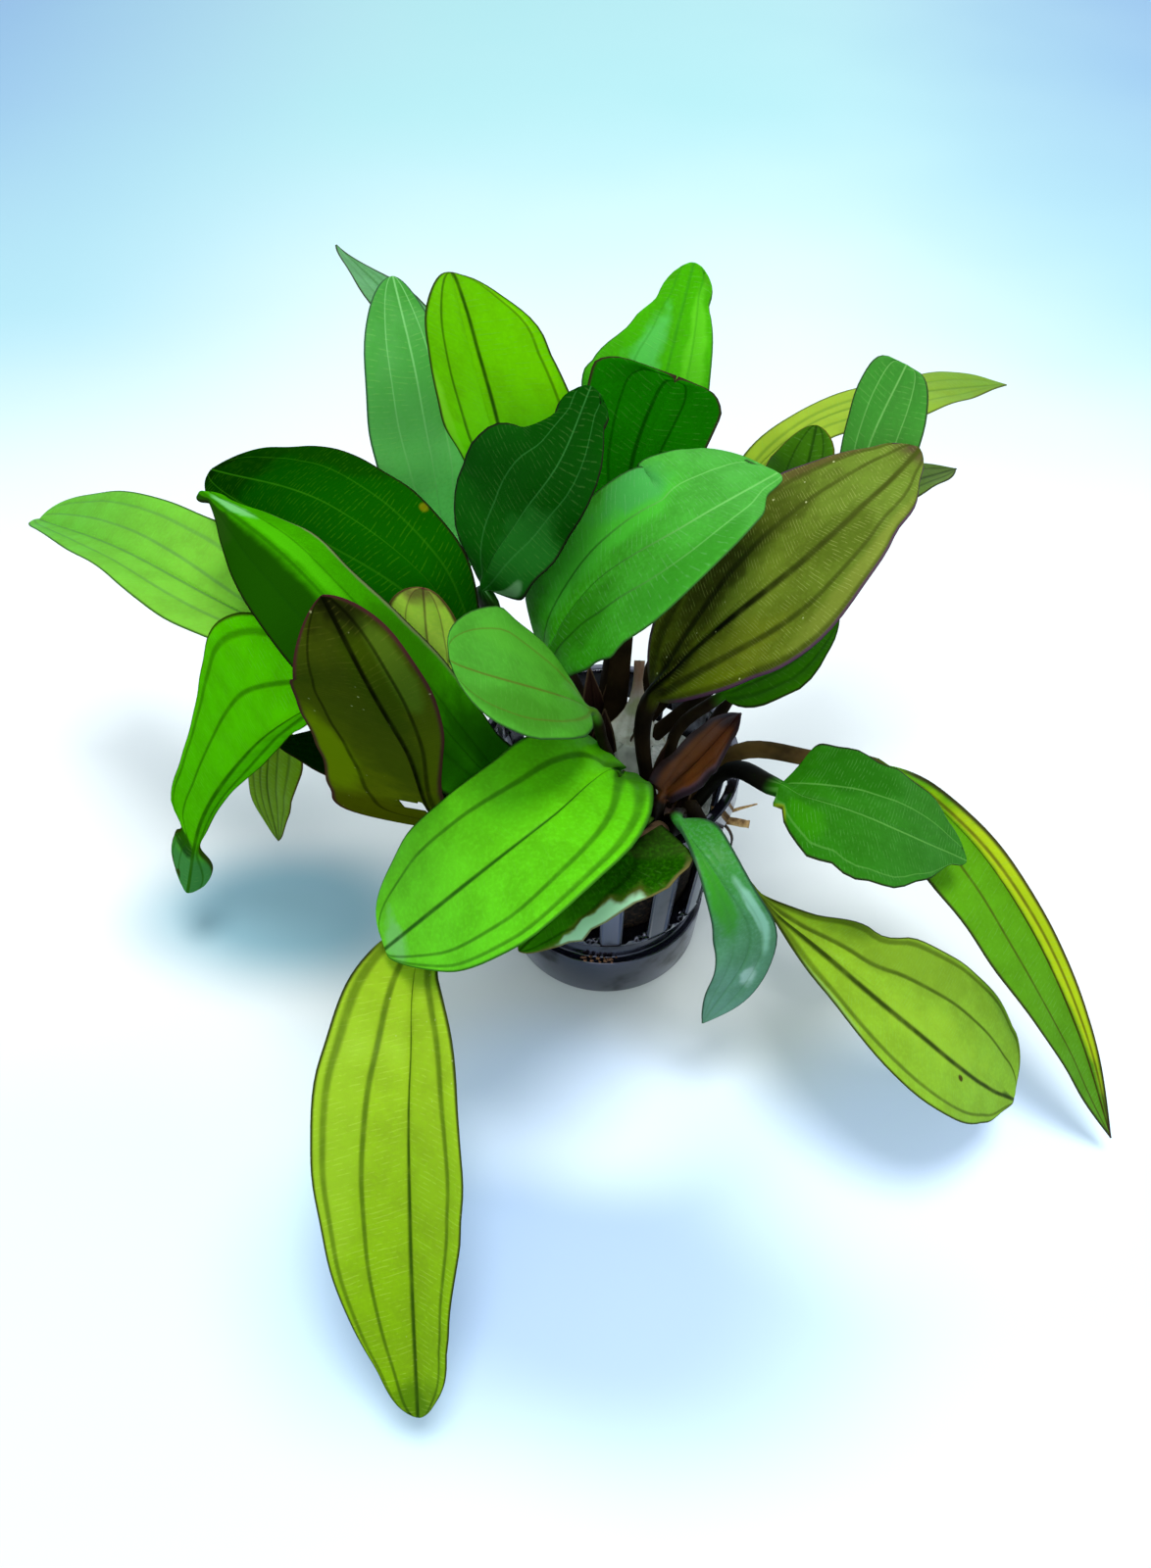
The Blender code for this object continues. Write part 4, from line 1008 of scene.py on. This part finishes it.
def wool_mesh():
    """The plug, its top edge rounded."""
    corner = WOOL_TOP_RADIUS - WOOL_ROUNDING
    profile = [(radius, WOOL_TOP) for radius in np.linspace(0, corner, WOOL_TOP_ROWS)]
    for turn in np.linspace(0, math.pi / 2, 6)[1:]:
        profile.append((corner + WOOL_ROUNDING * math.sin(turn),
                        WOOL_TOP - WOOL_ROUNDING + WOOL_ROUNDING * math.cos(turn)))
    for share in np.linspace(0, 1, WOOL_SIDE_ROWS)[1:]:
        profile.append((WOOL_TOP_RADIUS + share * (WOOL_FOOT_RADIUS - WOOL_TOP_RADIUS),
                        WOOL_TOP - WOOL_ROUNDING + share * (WOOL_FOOT - WOOL_TOP + WOOL_ROUNDING)))
    profile += [(radius, WOOL_FOOT) for radius in np.linspace(WOOL_FOOT_RADIUS, 0, 8)[1:]]
    return turned_mesh("rockwool_plug", profile, WOOL_STEPS, wool_shift)


def crown_mesh(name, centre):
    """A knobby rhizome, domed between the feet of its leaves."""
    profile = [(CROWN_RADIUS * math.sin(turn),
                CROWN_FOOT + CROWN_SIDE + (CROWN_TOP - CROWN_FOOT - CROWN_SIDE) * math.cos(turn))
               for turn in np.linspace(0, math.pi / 2, 16)]
    profile += [(CROWN_RADIUS, CROWN_FOOT + 0.6), (CROWN_RADIUS - 0.4, CROWN_FOOT), (0, CROWN_FOOT)]

    def shift(point):
        if math.hypot(point.x, point.y) < 0.2:
            return Vector((0, 0, 0))
        knob = noise.noise(point / 2.1 + Vector(centre).to_3d())
        return Vector((point.x, point.y, 0)).normalized() * 0.6 * knob

    mesh = turned_mesh(name, profile, CROWN_STEPS, shift)
    mesh.transform(Matrix.Translation((centre[0] * MM, centre[1] * MM, 0)))
    return mesh


def tube_points(line, radii, flatness, sides):
    """Sections of a rough tube along a line, with its radii at the line's points."""
    path, length = smooth_path(line)
    distances = np.linspace(0, length[-1], max(12, int(length[-1] / 0.5)))
    centres = along(path, length, distances)
    ahead = unit(np.gradient(centres, axis=0))
    across = unit(np.cross(ahead, UPWARD))
    up = np.cross(across, ahead)
    radius = np.interp(distances, np.linspace(0, length[-1], len(radii)), radii)
    turn = np.linspace(0, math.tau, sides, endpoint=False)
    rough = np.array([[1 + 0.18 * noise.noise(Vector(centre) / 0.8 + Vector((angle, 0, 0)))
                       for angle in turn] for centre in centres])
    ring = (across[:, None] * np.cos(turn)[None, :, None]
            + up[:, None] * flatness * np.sin(turn)[None, :, None])
    return centres[:, None] + ring * (radius[:, None] * rough)[..., None]


def tube_mesh(name, line, radii, flatness, sides=14):
    """A closed rough tube."""
    rings = tube_points(line, radii, flatness, sides)
    faces = []
    for i in range(len(rings) - 1):
        for j in range(sides):
            k = (j + 1) % sides
            faces.append([i * sides + j, i * sides + k, (i + 1) * sides + k, (i + 1) * sides + j])
    last = (len(rings) - 1) * sides
    faces.append(list(reversed(range(sides))))
    faces.append([last + j for j in range(sides)])
    return tidied(closed_mesh(name, rings.reshape(-1, 3), faces))


def lumps_mesh(name, lumps, roughness, fineness):
    """One mesh of rough lumps, each a centre and three half sizes."""
    work = bmesh.new()
    for number, (centre, size) in enumerate(lumps):
        ball = bmesh.ops.create_icosphere(work, subdivisions=4, radius=1)["verts"]
        for vert in ball:
            push = 1 + roughness * noise.noise(vert.co * fineness + Vector((number, 0, 0)))
            push += roughness * 0.6 * noise.noise(vert.co * fineness * 2.7)
            vert.co = Vector([(c + push * s * v) * MM for c, s, v in zip(centre, size, vert.co)])
    mesh = bpy.data.meshes.new(name)
    work.to_mesh(mesh)
    work.free()
    return tidied(mesh)


def plastic_material():
    """Glossy black plastic with mould waves and dull patches."""
    g = Graph("look_net_pot")
    spot = g.object_place()
    cloud = g.noise(spot, 55)
    scuff = g.noise(spot, 900, detail=4.0)
    dull = g.step(g.noise(spot, 90), 0.45, 0.75)
    colour = g.mix(g.step(scuff, 0.6, 0.8, 0.0, 0.2), linear((8, 8, 14)), linear((48, 48, 60)))
    g.shade({"Base Color": colour, "Roughness": g.step(cloud, 0.3, 0.7, 0.1, 0.24),
             "Specular IOR Level": g.step(dull, 0.0, 1.0, 0.7, 0.2),
             "Specular Tint": (0.72, 0.76, 1.0, 1.0),
             "Coat Weight": g.step(dull, 0.0, 1.0, 0.7, 0.1),
             "Coat Tint": (0.8, 0.82, 1.0, 1.0), "Coat Roughness": 0.08})
    g.bump(cloud + scuff * 0.04, 0.3, 0.0006)
    return g.material


def wool_material():
    """White fibres on top, near black and brown further down."""
    g = Graph("look_rockwool")
    spot = g.object_place()
    fibre = g.noise(spot, 1400, detail=5.0, roughness=0.7)
    cloud = g.noise(spot, 180, detail=4.0)
    white = g.mix(g.step(fibre, 0.3, 0.7), linear((206, 212, 204)), linear((255, 255, 252)))
    # Below the dark line the wool is near black and brown
    soil = g.mix(g.step(fibre, 0.45, 0.7), linear((14, 10, 9)), linear((70, 52, 36)))
    level = g.split(spot)[2] + (cloud - 0.5) * 0.012 + (fibre - 0.5) * 0.003
    g.shade({"Base Color": g.mix(g.step(level, *WOOL_DARK_LINE), soil, white), "Roughness": 0.95,
             "Specular IOR Level": 0.2})
    g.bump(fibre + cloud * 0.8, 0.9, 0.0006)
    return g.material


def bark_material(name, dark, light, scale, roughness):
    """Streaky plant skin: crowns, roots and crumbs."""
    g = Graph("look_" + name)
    spot = g.object_place()
    streak = g.noise(spot, scale * 4, detail=5.0, roughness=0.65)
    both = g.noise(spot, scale) * 0.6 + streak * 0.4
    g.shade({"Base Color": g.mix(g.step(both, 0.38, 0.62), linear(dark), linear(light)),
             "Roughness": g.step(streak, 0.3, 0.7, roughness, roughness + 0.25)})
    g.bump(both, 0.7, 0.0005)
    return g.material


BRACT_DARK = Look((34, 22, 20), (54, 34, 26), (18, 10, 10), stalk=(30, 20, 18), edge=(86, 70, 52),
                  veins=0.5, ladder=0.0, glow=0.15, gloss=0.42, wave=(0.2, 1.5, 0.2),
                  curl=(-50, -50), sheath=0.0)
BRACT_PALE = Look((250, 252, 246), (124, 84, 52), (150, 160, 130), (90, 60, 40),
                  stalk=(250, 250, 244), edge=(180, 170, 140), veins=0.3, ladder=0.0, glow=0.2,
                  gloss=0.5, wave=(0.2, 1.5, 0.2), curl=(-60, -60), sheath=0.0, rim=0.3,
                  patches=((0, 0.03, 1.2, 0.06, (150, 140, 116), 0.5, 0.9),
                           (0, 0.42, 1.2, 0.16, (150, 168, 110), 0.7, 0.5)))


def bract(crown, bearing, distance, height, lean, breadth):
    """A short scale that stands on a crown and wraps the stalks beside it."""
    side, ahead = math.sin(math.radians(bearing)), math.cos(math.radians(bearing))

    def spot(out, z):
        return (crown[0] + (distance + out) * side, crown[1] + (distance + out) * ahead, z)

    foot = STALK_START
    return Leaf("bract", "crown_brown", crown, (bearing, distance), [],
                [spot(0.1, foot + 0.5), spot(0.35 * lean, foot + 0.55 * height),
                 spot(lean, foot + height)],
                left=(breadth, breadth * 0.8, breadth * 0.45),
                right=(breadth, breadth * 0.8, breadth * 0.45), fold=(25, 25),
                heading=bearing, ends=(0.3, 0.6))


FRONT_BRACTS = [(20, 5, 13, 3, 2.8), (75, 5, 10, 3, 2.8), (160, 4, 6, 1.5, 2.2),
                (-70, 4.5, 9, 2, 2.6)]
BACK_BRACTS = [(-150, 5, 10, 2, 2.8), (-80, 5, 12, 3, 2.8), (-20, 5, 15, 3, 2.8),
               (20, 5.2, 16, 3, 3.0), (100, 5, 10, 3, 2.6), (180, 4, 16, 1, 2.6)]
PALE_SHEATH = Leaf("sheath", "crown_brown", (4.2, 0.8), (90, 0.1), [(4.3, 2.2, 50)],
                   [(4.6, 3.6, 51.5), (5.0, 5.2, 55), (5.4, 7.4, 60), (5.6, 9.6, 67)],
                   left=(3.6, 1.6, 1.1), right=(3.6, 1.6, 1.1), ends=(0.1, 0.15), heading=0,
                   radii=(3.8, 3.8))


def slot_spot(degrees, distance, height):
    """A place given by its bearing from the roots' slot, its distance from the axis and height."""
    bearing = ROOT_BEARING + math.radians(degrees)
    return (distance * math.cos(bearing), distance * math.sin(bearing), height)


# Roots: name, replaced node, thickness over breadth, radii, and places as slot_spot takes them
ROOTS = [
    ("thick_root", "root_thick", 0.6, (0.8, 0.95, 0.85),
     [(2, 20.7, 42.4), (3, 24, 42.8), (4, 28.4, 43)]),
    ("thin_root", "root_thin", 1.0, (0.42, 0.36, 0.3, 0.16),
     [(5, 20.7, 44.2), (5.5, 24, 44.3), (9, 26.5, 44.5), (11, 29, 45.2)]),
    ("hanging_root", None, 1.0, (0.3, 0.32, 0.3, 0.18),
     [(0, 21.5, 43.4), (-1, 24.6, 43), (-1.5, 25.9, 41.2), (-1.5, 26.1, 38.5)]),
]
# Tufts of wool: centre and half sizes
TUFTS = [((-5.0, 18.4, 45.6), (3.2, 1.6, 2.6)), ((-8.5, 16.5, 45), (2.4, 1.8, 1.6)),
         ((3.5, -3.0, 44.8), (2.4, 2.2, 1.4)), ((-3.5, -14.2, 44.6), (2.0, 1.4, 0.9)),
         ((4.5, -17.0, 44.5), (2.2, 1.4, 0.9)), ((15.0, -12.5, 44.5), (2.4, 2.6, 0.8)),
         ((16.5, -4.0, 44.4), (1.8, 2.6, 0.8))]


def crumbs():
    """Centres and half sizes of the soil crumbs on the ledge above the band."""
    for number in range(CRUMB_COUNT):
        turn = CRUMB_START + CRUMB_STEP * number + 0.02 * math.sin(number * 2.3)
        out = LEDGE_RADIUS + 0.55 * math.sin(number * 1.7)
        size = 0.3 + 0.2 * math.sin(number * 3.1)
        yield ((out * math.cos(turn), out * math.sin(turn), BAND_HEIGHT + size * 0.5),
               (size, size * 0.8, size * 0.6))


def build_pot_and_crowns():
    """Pot, wool, crowns with their scales, roots, tufts and crumbs."""
    add_piece("net_pot_shell", pot_mesh(), plastic_material(), "net_pot")
    wool = wool_material()
    add_piece("rockwool_plug", wool_mesh(), wool, "rockwool")
    bark = bark_material("crowns", (20, 12, 13), (58, 38, 30), 260, 0.45)
    for side, centre in (("front", FRONT_CROWN), ("back", BACK_CROWN)):
        name = side + "_rhizome"
        add_piece(name, crown_mesh(name, centre), bark, side + "_crown")
    scales = [("front_bracts", BRACT_DARK, [bract(FRONT_CROWN, *row) for row in FRONT_BRACTS]),
              ("back_bracts", BRACT_DARK, [bract(BACK_CROWN, *row) for row in BACK_BRACTS]),
              ("pale_sheath", BRACT_PALE, [PALE_SHEATH])]
    for name, look, leaves in scales:
        mesh = leaves_mesh(name, [(leaf, look, seed) for seed, leaf in enumerate(leaves)])
        add_piece(name, mesh, leaf_material(name, look, 3), None)

    tan = bark_material("roots", (128, 92, 48), (206, 168, 112), 300, 0.6)
    dark = bark_material("dark_root", (26, 18, 14), (74, 54, 38), 300, 0.6)
    for name, replaced, flatness, radii, spots in ROOTS:
        mesh = tube_mesh(name, [slot_spot(*spot) for spot in spots], radii, flatness)
        add_piece(name, mesh, tan if replaced else dark, replaced)
    add_piece("wool_tufts", lumps_mesh("wool_tufts", TUFTS, 0.55, 2.6), wool,
              None)
    soil = bark_material("crumbs", (44, 28, 20), (150, 106, 76), 900, 0.7)
    add_piece("ledge_crumbs", lumps_mesh("ledge_crumbs", crumbs(), 0.6, 2.2), soil,
              None)


# Painted light and shade on the floor: centre ahead and beside, half sizes along both, in metres, and
# colour
# Painted soft lavender shade in front of the plant
FLOOR_PAINTED_LIGHT_AND_SHADE = [(-0.074, 0, 0.036, 0.06, (154, 178, 214)),
               # Painted light that lifts the shade just in front of the pot
               (-0.038, 0, 0.02, 0.036, (208, 226, 254)),
               # Painted light with a blue tint where the shadow of right_spoon falls
               (-0.052, 0.066, 0.026, 0.034, (204, 222, 254)),
               # Painted shadow under the leaves on the left
               (0.0, -0.07, 0.022, 0.034, (120, 160, 176))]


def floor_material():
    """A pale glossy floor: cyan at the back, white beside the plant, painted soft lavender shade in
    front of it, and painted light and shadow near the plant.
    """
    g = Graph("look_floor")
    spot = g.object_place()
    x, y, _ = g.split(spot)
    cloud = g.noise(spot, 6, detail=2.0) - 0.5
    depth = y + cloud * 0.05
    side = x + cloud * 0.06
    wide = abs(side)
    colour = g.mix(g.step(depth, -0.06, -0.02), linear((196, 220, 232)), linear((206, 212, 216)))
    for ahead, beside, reach, across, paint in FLOOR_PAINTED_LIGHT_AND_SHADE:
        far = g.far(depth, side, ahead, beside, reach, across)
        colour = g.mix(g.step(far, 0.4, 1.3, 0.95, 0.0), colour, linear(paint))
    colour = g.mix(g.step(depth, 0.12, 0.5), colour, linear((150, 196, 200)))
    edge = g.step(depth, 0.12, 0.28) * g.step(wide, 0.06, 0.22)
    colour = g.mix(edge, colour, linear((150, 190, 200)))
    corner = g.step(depth, 0.2, 0.5) * g.step(wide, 0.1, 0.4)
    colour = g.mix(corner, colour, linear((118, 156, 196)))
    g.shade({"Base Color": colour, "Roughness": g.step(cloud, -0.2, 0.2, 0.42, 0.56),
             "Specular IOR Level": 0.3})
    return g.material


def add_lamp(name, place, size, power, colour):
    """A round soft lamp that faces the pot's foot."""
    lamp = bpy.data.lights.new(name, "AREA")
    lamp.shape = "DISK"
    lamp.size = size
    lamp.energy = power
    lamp.color = colour
    light = bpy.data.objects.new(name, lamp)
    light.location = place
    light.rotation_euler = (-Vector(place)).to_track_quat("-Z", "Y").to_euler()
    bpy.context.scene.collection.objects.link(light)


def studio():
    """Pale floor, soft light and the camera."""
    bpy.ops.mesh.primitive_plane_add(size=FLOOR_SIZE)
    floor = bpy.context.object
    floor.name = "floor"
    floor.data.materials.append(floor_material())

    world = bpy.data.worlds.new("studio")
    world.use_nodes = True
    background = world.node_tree.nodes["Background"]
    background.inputs["Color"].default_value = (0.86, 0.94, 1.0, 1)
    background.inputs["Strength"].default_value = 1.0
    bpy.context.scene.world = world
    add_lamp("overhead", (0.06, -0.12, 1.0), 0.34, 8.5, (1.0, 0.985, 0.93))
    add_lamp("back", (0.3, 1.1, 0.7), 0.9, 2, (0.9, 0.97, 1.0))
    add_lamp("front", (-0.2, -1.0, 0.9), 0.9, 3, (1.0, 0.99, 0.97))

    data = bpy.data.cameras.new("camera")
    data.sensor_width = SENSOR
    data.lens = LENS
    data.clip_start = 0.01
    camera = bpy.data.objects.new("camera", data)
    camera.location = CAMERA_PLACE
    camera.rotation_euler = (math.pi / 2 - CAMERA_PITCH, 0, 0)
    bpy.context.scene.collection.objects.link(camera)
    bpy.context.scene.camera = camera
    bpy.context.scene.view_settings.view_transform = "Standard"


studio()
for number, entry in enumerate(LEAVES):
    place_leaf(entry, number)
build_pot_and_crowns()
